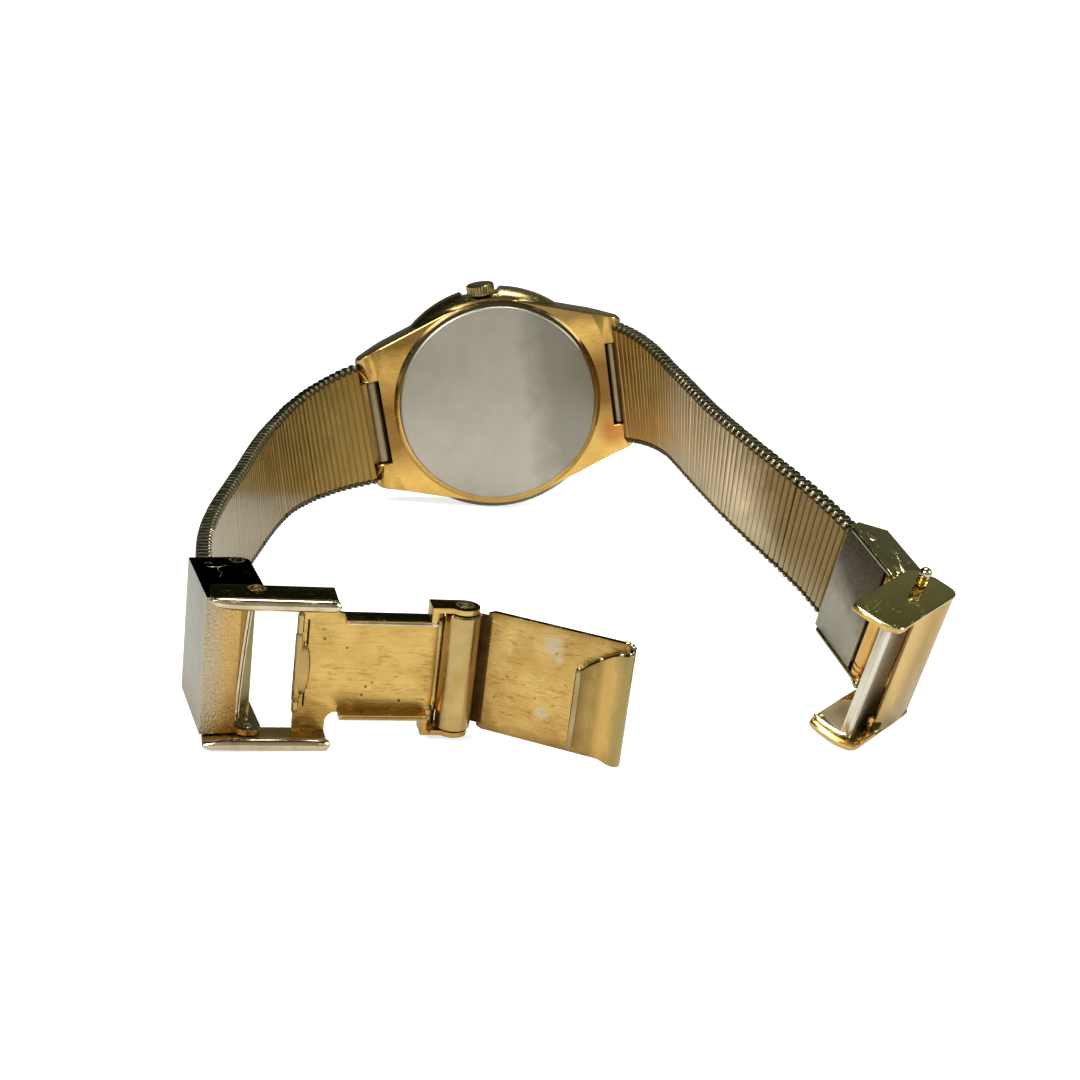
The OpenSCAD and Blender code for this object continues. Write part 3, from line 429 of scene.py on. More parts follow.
class Piece:
    """One visible piece: parts are added in a local frame, and each keeps its local coordinates."""

    def __init__(self, name, body, slot, *replaced):
        self.name, self.body, self.slot, self.replaced = name, body, slot, replaced
        self.mesh = bmesh.new()
        self.local = self.mesh.verts.layers.float_vector.new("local")
        self.materials = []

    def take(self, part, matrix, material, pick=None, shift=0.0):
        """Adds a bmesh that is in local mm. pick(normal, centre) may give another material."""
        part.normal_update()
        made = {}
        for v in part.verts:
            w = self.mesh.verts.new((matrix @ v.co) * MM)
            w[self.local] = v.co + Vector((shift, 0, 0))
            made[v] = w
        for f in part.faces:
            face = self.mesh.faces.new([made[v] for v in f.verts])
            key = (pick(f.normal, f.calc_center_median()) if pick else None) or material
            if key not in self.materials:
                self.materials.append(key)
            face.material_index = self.materials.index(key)
            face.smooth = True
        part.free()
        return self

    def finish(self, sharp=38):
        data = bpy.data.meshes.new(self.name)
        bmesh.ops.recalc_face_normals(self.mesh, faces=self.mesh.faces)
        self.mesh.to_mesh(data)
        self.mesh.free()
        for key in self.materials:
            data.materials.append(MAT[key])
        data.set_sharp_from_angle(angle=math.radians(sharp))
        obj = bpy.data.objects.new(self.name, data)
        link(obj)
        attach(obj, self.body)
        if self.replaced:
            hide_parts(*self.replaced)


def soften(mesh, width, segments=2, angle=30):
    """Rounds every edge sharper than the angle."""
    mesh.normal_update()
    limit = math.radians(angle)
    edges = [e for e in mesh.edges if len(e.link_faces) == 2 and e.calc_face_angle(0) > limit]
    if edges and width > 0:
        bmesh.ops.bevel(mesh, geom=edges, offset=width, segments=segments, profile=0.5,
                        affect="EDGES", clamp_overlap=True)
    return mesh


def skin(mesh, rows):
    """Faces between rows of verts of equal counts. Each row closes on itself."""
    n = len(rows[0])
    for a, b in zip(rows, rows[1:]):
        for i in range(n):
            j = (i + 1) % n
            mesh.faces.new((a[i], a[j], b[j], b[i]))


def loft(rings, loop=False):
    """Joins rings of equal point counts, with end faces, or with the last joined to the first."""
    mesh = bmesh.new()
    rows = [[mesh.verts.new(p) for p in ring] for ring in rings]
    skin(mesh, rows + rows[:1] if loop else rows)
    if not loop:
        mesh.faces.new(list(reversed(rows[0])))
        mesh.faces.new(rows[-1])
    return mesh


def circle(r, z, n=48):
    return [(r * math.cos(2 * math.pi * i / n), r * math.sin(2 * math.pi * i / n), z)
            for i in range(n)]


def lathe(profile, n=48):
    """Solid of revolution about z from (radius, z) pairs, with flat ends."""
    return loft([circle(r, z, n) for r, z in profile])


def pipe(profile, n=48):
    """Closed ring of revolution about z: the profile joins its own start."""
    return loft([circle(r, z, n) for r, z in profile], loop=True)


def straight(start, end, steps):
    """Points along a straight line in space."""
    return [tuple(a + (b - a) * k / steps for a, b in zip(start, end)) for k in range(steps + 1)]


def on_side(s, a, b):
    """The span from a to b on side s, which is 1 or -1, with its lower end first."""
    return sorted((s * a, s * b))


def rod(r, z0, z1, edge=0.1, n=32):
    return lathe([(r - edge, z0), (r - edge * 0.3, z0 + edge * 0.3), (r, z0 + edge),
                  (r, z1 - edge), (r - edge * 0.3, z1 - edge * 0.3), (r - edge, z1)], n)


def tube(r, bore, z0, z1, edge=0.08, n=40):
    return pipe([(r - edge, z0), (r, z0 + edge), (r, z1 - edge), (r - edge, z1),
                 (bore + edge, z1), (bore, z1 - edge), (bore, z0 + edge), (bore + edge, z0)], n)


def rounded_rect(a, b, r):
    """Outline of a rectangle with half sizes a and b and rounded corners."""
    points = []
    for cx, cy, start in ((a - r, b - r, 0), (r - a, b - r, 90), (r - a, r - b, 180),
                          (a - r, r - b, 270)):
        for k in range(4):
            angle = math.radians(start + 30 * k)
            points.append((cx + r * math.cos(angle), cy + r * math.sin(angle)))
    return points


def rib(a, b, w, r):
    """Rounded bar along z with half sizes a and b, and a bead at each end behind a small neck."""
    end, neck = 0.3, w / 2 - 0.62
    half = [(w / 2 - end * (1 - math.cos(math.radians(t))), end * (1 - math.sin(math.radians(t))))
            for t in (0, 25, 50, 75, 90)]
    half += [(neck, 0.02), (neck - 0.05, 0.13), (neck - 0.11, 0.13), (neck - 0.16, 0.0)]
    stops = [(-z, inset) for z, inset in half] + [(z, inset) for z, inset in reversed(half)]
    return loft([[(x, y, z) for x, y in
                  rounded_rect(a - min(inset, a - 0.12), b - inset, max(r - inset, 0.02))]
                 for z, inset in stops])


def prism(outline, z0, z1, edge=0.12, segments=2):
    """Extruded outline in the x-y plane with rounded edges."""
    mesh = bmesh.new()
    low = [mesh.verts.new((x, y, z0)) for x, y in outline]
    high = [mesh.verts.new((x, y, z1)) for x, y in outline]
    mesh.faces.new(list(reversed(low)))
    mesh.faces.new(high)
    skin(mesh, [low, high])
    bmesh.ops.recalc_face_normals(mesh, faces=mesh.faces)
    return soften(mesh, edge, segments)


def box(x0, x1, y0, y1, z0, z1, edge=0.12):
    return prism([(x0, y0), (x1, y0), (x1, y1), (x0, y1)], z0, z1, edge)


def filleted(corners, steps):
    """Outline through (x, y, radius) corners, each rounded by its radius."""
    points = []
    n = len(corners)
    for i, (x, y, r) in enumerate(corners):
        here = Vector((x, y))
        back = Vector(corners[i - 1][:2]) - here
        ahead = Vector(corners[(i + 1) % n][:2]) - here
        half = back.angle(ahead) / 2
        if r <= 0 or half > 1.55:
            points.append((x, y))
            continue
        reach = min(r / math.tan(half), back.length * 0.48, ahead.length * 0.48)
        start, end = here + back.normalized() * reach, here + ahead.normalized() * reach
        for k in range(steps + 1):
            u = k / steps
            spot = start * (1 - u) ** 2 + here * (2 * u * (1 - u)) + end * u ** 2
            points.append((spot.x, spot.y))
    return points


SHEET_EDGE = 0.2


def sheet_along(path, spans):
    """A sheet whose side view follows a path in x and y, with its own z range at each point."""
    rings = []
    last = len(path) - 1
    for i, ((x, y), (z0, z1)) in enumerate(zip(path, spans)):
        before, after = Vector(path[max(i - 1, 0)]), Vector(path[min(i + 1, last)])
        along = (after - before).normalized()
        n = Vector((-along.y, along.x))
        middle, half = (z0 + z1) / 2, (z1 - z0) / 2
        for inset, shift in ({0: ((0.14, 0.0), (0.04, 0.05), (0.0, 0.14)),
                              last: ((0.0, -0.14), (0.04, -0.05), (0.14, 0.0))}
                             .get(i, ((0.0, 0.0),))):
            outline = rounded_rect(SHEET / 2 - inset, half - inset, SHEET_EDGE - inset)
            rings.append([(x + along.x * shift + n.x * a, y + along.y * shift + n.y * a,
                           middle + b) for a, b in outline])
    return loft(rings)


def bead(path, size, n=12):
    """A round wire along a path in space, with rounded ends. It may have a radius at each point."""
    points = [Vector(p) for p in path]
    radii = size if isinstance(size, list) else [size] * len(points)
    rings = []
    last = len(points) - 1
    for i, spot in enumerate(points):
        along = (points[min(i + 1, last)] - points[max(i - 1, 0)]).normalized()
        side = along.cross(Vector((0.02, 0.01, 1)) if abs(along.z) < 0.9
                           else Vector((0, 1, 0))).normalized()
        up = along.cross(side)
        stops = ([(-1, 0.2), (-0.7, 0.7), (0, 1)] if i == 0 else
                 [(0, 1), (0.7, 0.7), (1, 0.2)] if i == last else [(0, 1)])
        r = radii[i]
        for shift, part in stops:
            rings.append([tuple(spot + along * (shift * r)
                                + (side * math.cos(a) + up * math.sin(a)) * (r * part))
                          for a in (2 * math.pi * k / n for k in range(n))])
    return loft(rings)


def flat_bead(path, z, size, n=12):
    """A bead along a path in x and y, at one z."""
    return bead([(x, y, z) for x, y in path], size, n)


def blob(centre, sizes, around=24, rows=14):
    """A smooth swelling with three half sizes."""
    mesh = bmesh.new()
    bmesh.ops.create_uvsphere(mesh, u_segments=around, v_segments=rows, radius=1.0)
    for v in mesh.verts:
        v.co = Vector((centre[0] + v.co.x * sizes[0], centre[1] + v.co.y * sizes[1],
                       centre[2] + v.co.z * sizes[2]))
    return mesh


def arc(cx, cy, r, start, end, steps):
    return [(cx + r * math.cos(math.radians(start + (end - start) * k / steps)),
             cy + r * math.sin(math.radians(start + (end - start) * k / steps)))
            for k in range(steps + 1)]


def solid_of(node, matrix, edge=0.12, segments=2):
    """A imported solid's shape in a local frame, in mm, with its edges rounded."""
    mesh = bmesh.new()
    mesh.from_mesh(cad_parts[node].data)
    bmesh.ops.scale(mesh, vec=(1 / MM, 1 / MM, 1 / MM), verts=mesh.verts)
    bmesh.ops.transform(mesh, matrix=matrix.inverted(), verts=mesh.verts)
    bmesh.ops.remove_doubles(mesh, verts=mesh.verts, dist=0.002)
    bmesh.ops.dissolve_limit(mesh, angle_limit=math.radians(1.0), verts=mesh.verts,
                             edges=mesh.edges)
    return soften(mesh, edge, segments)


def dress(node, key):
    """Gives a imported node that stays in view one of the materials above."""
    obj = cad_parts[node]
    if not obj.material_slots:
        obj.data.materials.append(None)
    for slot in obj.material_slots:
        slot.link = "OBJECT"
        slot.material = MAT[key]


# Bracelet


def make_band(hour):
    side, ribs = SIDES[hour], RIBS[hour]
    n, segments = side["ribs"], side["segments"]
    joints = [round(j * n / segments) for j in range(segments + 1)]
    key, wrist = f"rib_{hour}", 1 if hour == 6 else -1
    for j in range(1, segments + 1):
        first = 0 if j == 1 else joints[j - 1] + 1
        last = joints[j] if j < segments else n - 1
        piece = Piece(f"bracelet_{hour}_{j}", f"link_{hour}_{j}", "band_gold", f"band_{hour}_{j}")
        for i in range(first, last + 1):
            w = even_lookup(BAND_WIDTHS, i / n) + random.uniform(-0.05, 0.05)
            round_r = even_lookup(RIB_ROUND[hour], i / n)
            deep = min(max(i / n * 6 - 3.6, 0.0), 1.0) if hour == 12 else 0.0
            half = 0.425 if i in (first, last) else 0.49 - 0.028 * deep
            core = 0.74 - 0.16 * deep
            limit = w / 2 - 0.72

            # A rib's ends take the dark painted shade of the groove behind its bead.
            def pick(normal, centre, limit=limit):
                return "rib_end" if abs(centre.z) > limit else None
            piece.take(rib(half, BAND_T / 2, w, round_r), ribs[i], key, pick, i * PITCH)
            # Beads near the clasp carry a painted highlight, the others a darker painted shade.
            bright = i / n > (0.82 if hour == 6 else 0.3)
            for s in (-1, 1):
                piece.take(blob((0, wrist * 0.52, s * (w / 2 - 0.27)), (0.36, 0.36, 0.36), 10, 7),
                           ribs[i], "bead" if bright else "bead_dim", shift=i * PITCH)
            if i < last:
                piece.take(box(0.1, PITCH - 0.1, -core, core, -w / 2 + 0.4, w / 2 - 0.4, 0),
                           ribs[i], "rib_core", shift=i * PITCH)
        if first:
            wide = even_lookup(BAND_WIDTHS, first / n) / 2 - 0.5
            piece.take(box(0.48, 0.62, -0.24, 0.24, -wide, wide, 0), ribs[first - 1], key,
                       shift=first * PITCH)
        if j == segments:
            end_of_band(piece, hour)
        piece.finish(30)


LINK_HALF = 5.7


def end_of_band(piece, hour):
    """The loop or the plate that carries the clasp's pin."""
    at = RIBS[hour][-1]
    if hour == 6:
        piece.take(tube(0.8, 0.55, -LINK_HALF, LINK_HALF), at @ move(COVER_GAP), "bar_steel")
        piece.take(box(-0.6, 0.3, -0.4, 0.4, -LINK_HALF, LINK_HALF, 0.1), at, "rib_core")
    else:
        piece.take(box(-0.6, 3.6, -0.78, 0.6, -5.6, 5.6, 0.15), at, "bar_steel")


def make_end_links():
    for hour in SIDES:
        at = lug_frame(hour)
        piece = Piece(f"end_piece_{hour}", f"link_{hour}_1", "band_gold", f"end_link_{hour}")
        piece.take(tube(1.0, 0.75, -LINK_HALF, LINK_HALF, 0.12), at, "bar_steel")
        piece.take(box(0.85, 1.8, -0.5, 0.5, -5.66, 5.66, 0.06), at, "rib_core")
        piece.take(box(1.69, 1.82, -0.45, 0.45, -7.9, 7.9, 0.02), at, "rib_core")
        piece.finish()


# Case


CASE_R, BACK_R, CAVITY_R = 15.5, 14.4, 12.5
LUG_TIP_X = 18.3
LUG_Z = 9.0
GAP_WALL_X = 15.58
GAP_Z = 5.8
NOSE_R = 1.65
FLANK_LOW, FLANK_HIGH = 0.6, 5.2
CROWN_FLAT_Z, CROWN_FLAT_X = 14.8, 2.3
CROWN_AT = (0, 2.5, 14.95)


def quarter_outline(grow, round_r):
    """Outline of a quarter of the case, from the lug gap's wall to twelve o'clock's far side."""
    r, tip, lug = BACK_R + grow, LUG_TIP_X + grow, LUG_Z + grow
    wall, gap = GAP_WALL_X + grow * 0.2, GAP_Z - grow
    reach = math.hypot(tip, lug)
    tangent = math.atan2(lug, tip) + math.acos(r / reach)
    corner = Vector((tip, lug))
    touch = Vector((r * math.cos(tangent), r * math.sin(tangent)))
    step = (corner - touch).normalized()
    meet = touch + step * math.sqrt(max((round_r + grow) ** 2 - r ** 2, 0.0))
    start = math.atan2(meet.y, meet.x)
    points = [(wall + (tip - wall) * (1 - (1 - k / 12) ** 1.6), gap) for k in range(13)]
    points += [(tip, gap + (lug - gap) * k / 3) for k in range(1, 3)]
    points += [(tip - 0.02, lug - 0.25), (tip - 0.25, lug + 0.02)]
    edge = corner + (meet - corner) * 0.03
    points += [tuple(edge + (meet - edge) * (k / 16) ** 1.3) for k in range(1, 16)]
    for k in range(24):
        a = start + (math.pi / 2 - start) * k / 24
        radius = max(r, round_r + grow) + min(round_r + grow - r, 0.0) * min(k / 7, 1.0)
        points.append((radius * math.cos(a), radius * math.sin(a)))
    return points


def case_outline(grow, round_r):
    q = quarter_outline(grow, round_r)
    upper = q + [(0.0, round_r + grow)] + [(-x, z) for x, z in reversed(q)]
    return upper + [(-x, -z) for x, z in upper]


def lug_levels(x):
    """Lowest and highest level of the case at a distance x from its middle."""
    x = abs(x)
    shoulder, bar_x = LUG_AT[0] - 1.1, LUG_AT[0]
    nose = math.sqrt(max(NOSE_R ** 2 - (x - bar_x) ** 2, 0.0)) if x > bar_x else NOSE_R
    low = FLANK_LOW if x < shoulder else (
        FLANK_LOW + (LUG_AT[1] - NOSE_R - FLANK_LOW) * (x - shoulder) / 1.1 if x < bar_x
        else LUG_AT[1] - nose)
    slope_end = bar_x + 0.9
    if x < shoulder - 1.2:
        high = FLANK_HIGH
    elif x < slope_end:
        u = (x - shoulder + 1.2) / (slope_end - shoulder + 1.2)
        high = FLANK_HIGH + (LUG_AT[1] + 1.38 - FLANK_HIGH) * u ** 1.35
    else:
        high = LUG_AT[1] + nose
    return low, high


def case_ring(level, grow, round_r):
    ring = []
    for x, z in case_outline(grow, round_r):
        if abs(x) < CROWN_FLAT_X and z > CROWN_FLAT_Z + grow:
            z = CROWN_FLAT_Z + grow
        low, high = lug_levels(x)
        ring.append((x, low + (high - low) * level, z))
    return ring


def filled(mesh, loops):
    edges = []
    for loop in loops:
        n = len(loop)
        for i in range(n):
            e = mesh.edges.get((loop[i], loop[(i + 1) % n]))
            edges.append(e or mesh.edges.new((loop[i], loop[(i + 1) % n])))
    bmesh.ops.triangle_fill(mesh, use_beauty=True, edges=edges)


def case_body():
    """The case without its bezel, from rings of (level, growth, radius) and a round hole."""
    levels = ((0.0, -0.16, 13.76), (0.02, -0.05, 13.9), (0.06, -0.01, 14.2), (0.1, 0.0, 14.5),
              (0.22, 0.0, 14.95), (0.38, 0.0, 15.42), (0.44, 0.0, CASE_R), (0.86, 0.0, CASE_R),
              (0.92, -0.06, CASE_R), (0.97, -0.2, CASE_R), (1.0, -0.5, CASE_R))
    mesh = bmesh.new()
    rows = [[mesh.verts.new(p) for p in case_ring(*level)] for level in levels]
    skin(mesh, rows)
    inner = [[mesh.verts.new((x, y, z)) for x, z, _ in circle(CAVITY_R, 0, 96)]
             for y in (FLANK_LOW, FLANK_HIGH)]
    skin(mesh, inner)
    filled(mesh, (rows[0], inner[0]))
    filled(mesh, (rows[-1], inner[1]))
    bmesh.ops.recalc_face_normals(mesh, faces=mesh.faces)
    return mesh


def bezel():
    return pipe([(14.38, 5.1), (14.38, 5.4), (14.2, 5.66), (14.0, 5.8), (13.96, 5.95), (13.8, 6.05),
                 (13.2, 6.1), (12.95, 6.1), (12.82, 6.02), (12.8, 5.3), (11.7, 5.3), (11.7, 4.35),
                 (12.5, 4.3), (12.5, 5.1)], 96)


FACE = CASE @ turn(-90, "X")


def case_pick(normal, centre):
    """The flank is polished and darker, a painted shade; the faces to front and back are satin."""
    return "case_edge" if abs(normal.y) < 0.75 else "case"


def make_case():
    piece = Piece("case_body", "case", "case_gold", "case_middle")
    piece.take(case_body(), CASE, "case", case_pick)
    piece.take(bezel(), FACE, "bezel")
    piece.take(pipe([(13.5, 0.28), (13.72, 0.3), (13.9, 0.38), (14.2, 0.6), (14.24, 0.72),
                     (14.1, 0.9), (13.5, 0.9)], 128), FACE, "case_ring")
    for s in (-1, 1):
        # Plates across the lug gaps, darker brown as painted shade
        piece.take(box(*on_side(s, CASE_R, 16.3), 3.08, 3.4, -5.75, 5.75, 0.05), CASE, "gap_wall")
    piece.finish(30)
    back = Piece("case_back_cover", "case", "back_steel", "case_back")
    back.take(lathe([(13.1, 0.0), (13.28, 0.04), (13.42, 0.14), (13.5, 0.3), (13.5, 0.6)], 128),
              FACE, "back")
    back.take(tube(12.15, 11.65, 0.55, 1.5, 0.05, 96), FACE, "back")
    back.finish(40)
    bars = Piece("spring_bars", "case", "pin_steel", "lug_bars")
    for s in (-1, 1):
        at = CASE @ move(s * LUG_AT[0], LUG_AT[1])
        bars.take(rod(0.7, -5.6, 5.6, 0.1), at, "pin")
        bars.take(rod(0.4, -6.9, 6.9, 0.08), at, "pin")
    bars.finish()


def make_crown():
    at = CASE @ move(*CROWN_AT)
    flutes = 30

    def fluted(r, depth, z):
        return [((r - depth * (k % 2)) * math.cos(math.pi * k / flutes),
                 (r - depth * (k % 2)) * math.sin(math.pi * k / flutes), z)
                for k in range(2 * flutes)]
    shape = loft([fluted(*row) for row in (
        (1.6, 0, 0.0), (1.78, 0.02, 0.06), (1.88, 0.1, 0.18), (1.9, 0.12, 0.4), (1.9, 0.12, 1.1),
        (1.86, 0.08, 1.26), (1.7, 0.02, 1.38), (1.3, 0, 1.46), (0.6, 0, 1.5))])
    piece = Piece("crown_head", "crown_and_stem", "case_gold", "crown")
    # The crown takes the flank's darker gold, a painted shade.
    piece.take(shape, at, "case_edge").finish(28)


# Dial side


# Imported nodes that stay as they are, by material
INSIDE = {
    "glass": "crystal",
    "rubber": "crystal_gasket case_back_gasket crown_gasket",
    "plastic": "movement_ring intermediate_wheel third_wheel centre_wheel minute_wheel hour_wheel",
    "dial": "dial",
    "brass": "main_plate fourth_wheel",
    "steel": "train_bridge bridge_screws quartz_can battery battery_strap stator setting_lever "
             "stem rotor",
    "board": "circuit_board",
    "coil": "coil",
    "tube": "crown_tube",
    "hand": "second_hand minute_hand hour_hand",
}
MARKER_R, DIAL_TOP = 10.8, 4.3


def make_dial():
    for key, nodes in INSIDE.items():
        for node in nodes.split():
            dress(node, key)
    markers = Piece("hour_batons", "case", "hand_gold", "dial_markers")
    for k in range(12):
        long = 2.0 if k % 3 == 0 else 1.4
        markers.take(box(MARKER_R - long, MARKER_R, DIAL_TOP, DIAL_TOP + 0.12, -0.2, 0.2, 0.04),
                     CASE @ turn(30 * k, "Y"), "hand")
    markers.finish()
    track = Piece("minute_track", "case", "dial_enamel")
    for k in range(60):
        if k % 5:
            track.take(box(10.9, 11.4, DIAL_TOP, DIAL_TOP + 0.015, -0.04, 0.04, 0),
                       CASE @ turn(6 * k, "Y"), "ink")
    track.finish()


# Clasp at six o'clock


def cover_pick(normal, centre):
    # The upper side wall takes a near black painted shade, the lower one a darker olive painted
    # shade.
    if abs(normal.z) > 0.7 and abs(centre.z) > 6.3:
        return "cover_side" if centre.z > 0 else "fold_inner"
    if centre.x > 8.0 and abs(normal.z) < 0.7:
        return "cover_lip"
    return None


def frame_pick(normal, centre):
    # Arm fronts take the pale painted highlight; the arms' sides and the upper and lower faces take
    # the dark painted shade.
    if centre.x < 7.6 and normal.y < -0.5 and abs(centre.z) > 5.8:
        return "highlight"
    if centre.z < -5.8 and normal.z > 0.6:
        return "roll"
    if centre.x < 7.6 and abs(centre.z) > 6.9:
        return "frame_side"
    return "frame_side" if abs(normal.z) > 0.6 and abs(centre.z) > 5.0 else None


COVER_WALL_Z = 6.87
COVER_SCRATCHES = ([(0.7, -0.2), (0.9, 0.4), (0.8, 1.0), (0.4, 1.6)],
                   [(0.9, 0.8), (1.7, 0.6), (2.4, 0.9), (3.4, 0.5)])


def make_cover():
    """U-shaped cover with its pins, worn lip and the folded sheet behind the lip."""
    cover = Piece("cover_shell", "cover", "clasp_steel", "cover")
    cover.take(solid_of("cover", COVER, 0.24, 4), COVER, "cover", cover_pick)
    cover.take(tube(0.76, 0.56, COVER_WALL_Z - 0.1, COVER_WALL_Z + 0.06, 0.04),
               COVER @ move(-1.05, 2.9), "pin")
    for path in COVER_SCRATCHES:
        cover.take(flat_bead(path, COVER_WALL_Z, 0.045, 8), COVER, "pin")
    lip = [(8.45, 1.72 + 0.75 * ((z + 5.7) / 11.9) ** 1.6, z)
           for z in (6.2 - 11.9 * k / 16 for k in range(17))]
    # Pale wire along the lip's inner edge: a painted highlight.
    cover.take(bead(lip, 0.17), COVER, "highlight")
    # Darker sheet and strip behind the lip: painted shade.
    cover.take(loft([[(8.22, 1.3, z), (8.5, 1.3, z), (8.5, y, z), (8.22, y, z)]
                     for x, y, z in reversed(lip)]), COVER, "lip_inner")
    cover.take(box(7.8, 8.15, 1.4, 3.05, -6.0, 6.2, 0.08), COVER, "fold_inner")
    # Thin pale wire beside it: a painted highlight.
    cover.take(bead([(x - 0.2, y + 0.34, z) for x, y, z in lip], 0.1), COVER, "highlight")
    cover.finish(25)
    pins = Piece("cover_pin_rod", "cover", "pin_steel", "cover_pin")
    # The pin takes the near black painted shade of the upper wall.
    pins.take(rod(PIN_R, -6.9, 6.9, 0.12), COVER, "cover_side").finish()
    pins = Piece("rivets", "cover", "pin_steel", "frame_pin")
    at = COVER @ move(*COVER_PIVOT)
    for s in (-1, 1):
        pins.take(rod(PIN_R, *on_side(s, 6.35, 7.6), 0.12), at, "pin")
        pins.take(tube(0.88, 0.6, *on_side(s, 7.5, 7.62), 0.05), at, "bar_gold")
    pins.finish()


def make_frame():
    """Folding frame: two long arms, a rolled edge at its window, and a neck with a hinge pin."""
    folding = Piece("folding_frame", "clasp_frame", "clasp_gold", "clasp_frame")
    folding.take(solid_of("clasp_frame", FRAME, 0.23, 3), FRAME, "frame", frame_pick)
    for low, high, r in ((-4.9, -4.05, 0.34), (-3.75, 2.9, 0.4), (3.15, 4.9, 0.34)):
        folding.take(bead(straight((4.35, 0.42, low), (4.35, 0.42, high), 6), r), FRAME, "roll")
    folding.take(blob((4.75, 0.28, -0.55), (0.78, 0.4, 2.7)), FRAME, "roll")
    # Dark strip between the window's rolled edge and the plate: painted shade.
    folding.take(box(5.02, 5.2, 0.44, 0.52, -4.5, 4.4, 0.02), FRAME, "gap_shade")
    folding.take(bead(straight((17.7, 0.36, -4.55), (17.7, 0.36, 4.55), 6), 0.26), FRAME, "roll")
    # Dark strip before the hinge: painted shade of the gap.
    folding.take(box(17.4, 18.32, 0.8, 0.98, -4.9, 4.9, 0.04), FRAME, "gap_shade")
    for s in (-1, 1):
        swell = [0.0, 0.8] + [1.0] * 9
        # Bright wire along each arm's front edge: a painted highlight.
        folding.take(bead([(-3.8 + 10.8 * k / 10, -2.68, s * (7.16 - 0.16 * u))
                           for k, u in enumerate(swell)], [0.4 + 0.2 * u for u in swell], 16),
                     FRAME, "highlight")
        folding.take(box(16.5, 18.0, 0.44, 0.96, *on_side(s, 4.7, 6.3), 0.1), FRAME, "roll")
        # The upper wire along the neck is a painted highlight, the lower one plain gold.
        folding.take(bead(straight((8.7, -1.2, s * 4.86), (17.0, -1.2, s * 4.86), 8), 0.27),
                     FRAME, "highlight" if s > 0 else "roll")
    folding.finish(25)
    pins = Piece("hook_pin_rod", "clasp_frame", "pin_steel", "hook_pin")
    at = FRAME @ move(*HINGE_AT)
    pins.take(rod(PIN_R, -6.72, 6.72, 0.14), at, "pin")
    for s in (-1, 1):
        pins.take(tube(0.9, 0.62, *on_side(s, 6.58, 6.68), 0.04), at, "pin")
    pins.finish()


ROLL_R, FOLD_R = 1.75, 1.1
HOOK_L, HOOK_HALF = 17.0, 6.2
LIP_L = 3.8
# Painted highlights along the hook's upper edge: place in its path, and half length
SPARKLES = ((6, 0.12), (8, 0.156), (10, 0.18), (14, 0.18), (18, 0.132), (21, 0.156))


def make_hook():
    """Hinge roll, plate and turned-back lip, whose free edge is shorter than its fold."""
    hook = Piece("hook_leaf", "hook_plate", "clasp_gold", "hook_plate")
    hook.take(tube(ROLL_R, 0.52, -5.95, 5.95, 0.18, 56), HOOK, "roll")
    # Dark strip beside the roll: painted shade of the hinge gap.
    hook.take(box(0.2, 2.6, ROLL_R - 0.5, ROLL_R - 0.02, -5.6, 5.6, 0.08), HOOK, "gap_shade")
    y_top, y_mid = ROLL_R - 0.25, ROLL_R - FOLD_R
    x_fold = HOOK_L - FOLD_R
    path = [(2.0, y_top), (2.6, y_top), (6.0, y_top), (10.0, y_top), (13.0, y_top),
            (x_fold - 0.6, y_top)]
    path += arc(x_fold, y_mid, FOLD_R - 0.25, 90, -90, 12)
    spans = [(-6.0, 6.0)] + [(-HOOK_HALF, HOOK_HALF)] * 5
    spans += [(-HOOK_HALF + 0.5 * (k / 12) ** 2, HOOK_HALF - 0.6 * min(1.0, k / 8) ** 1.5)
              for k in range(13)]
    lip_y = y_mid - FOLD_R + 0.25
    for k in range(1, 7):
        u = k / 6
        path.append((x_fold - LIP_L * u, lip_y + 0.3 * math.sin(math.pi * u)))
        spans.append((-5.7 + 0.9 * u, 5.6 - 2.5 * u ** 1.2))
    hook.take(sheet_along(path, spans), HOOK, "hook", lip_pick)
    edge = x_fold - LIP_L, lip_y - 0.1
    # Bead along the lip's free edge, paler as a painted highlight
    hook.take(bead(straight((*edge, -4.75), (*edge, 3.05), 8), 0.33), HOOK, "lip_edge")
    for k, size in SPARKLES:
        hook.take(blob((*path[k], spans[k][1] - 0.04), (0.36, 0.27, size), 12, 8), HOOK, "highlight")
    hook.finish(28)


def lip_pick(normal, centre):
    # Upward faces take the dark painted shade, and the lip's faces the darker lip gold with its
    # painted bands.
    if normal.z > 0.6:
        return "frame_side"
    return "hook_lip" if centre.x > 12.0 and centre.y < 0.9 else None


# Clasp at twelve o'clock


BAR_AT = (8.3, -0.4)
TAIL_HALF, LEVER_HALF = 7.15, 8.1
TAIL_PIN_X = 2.4


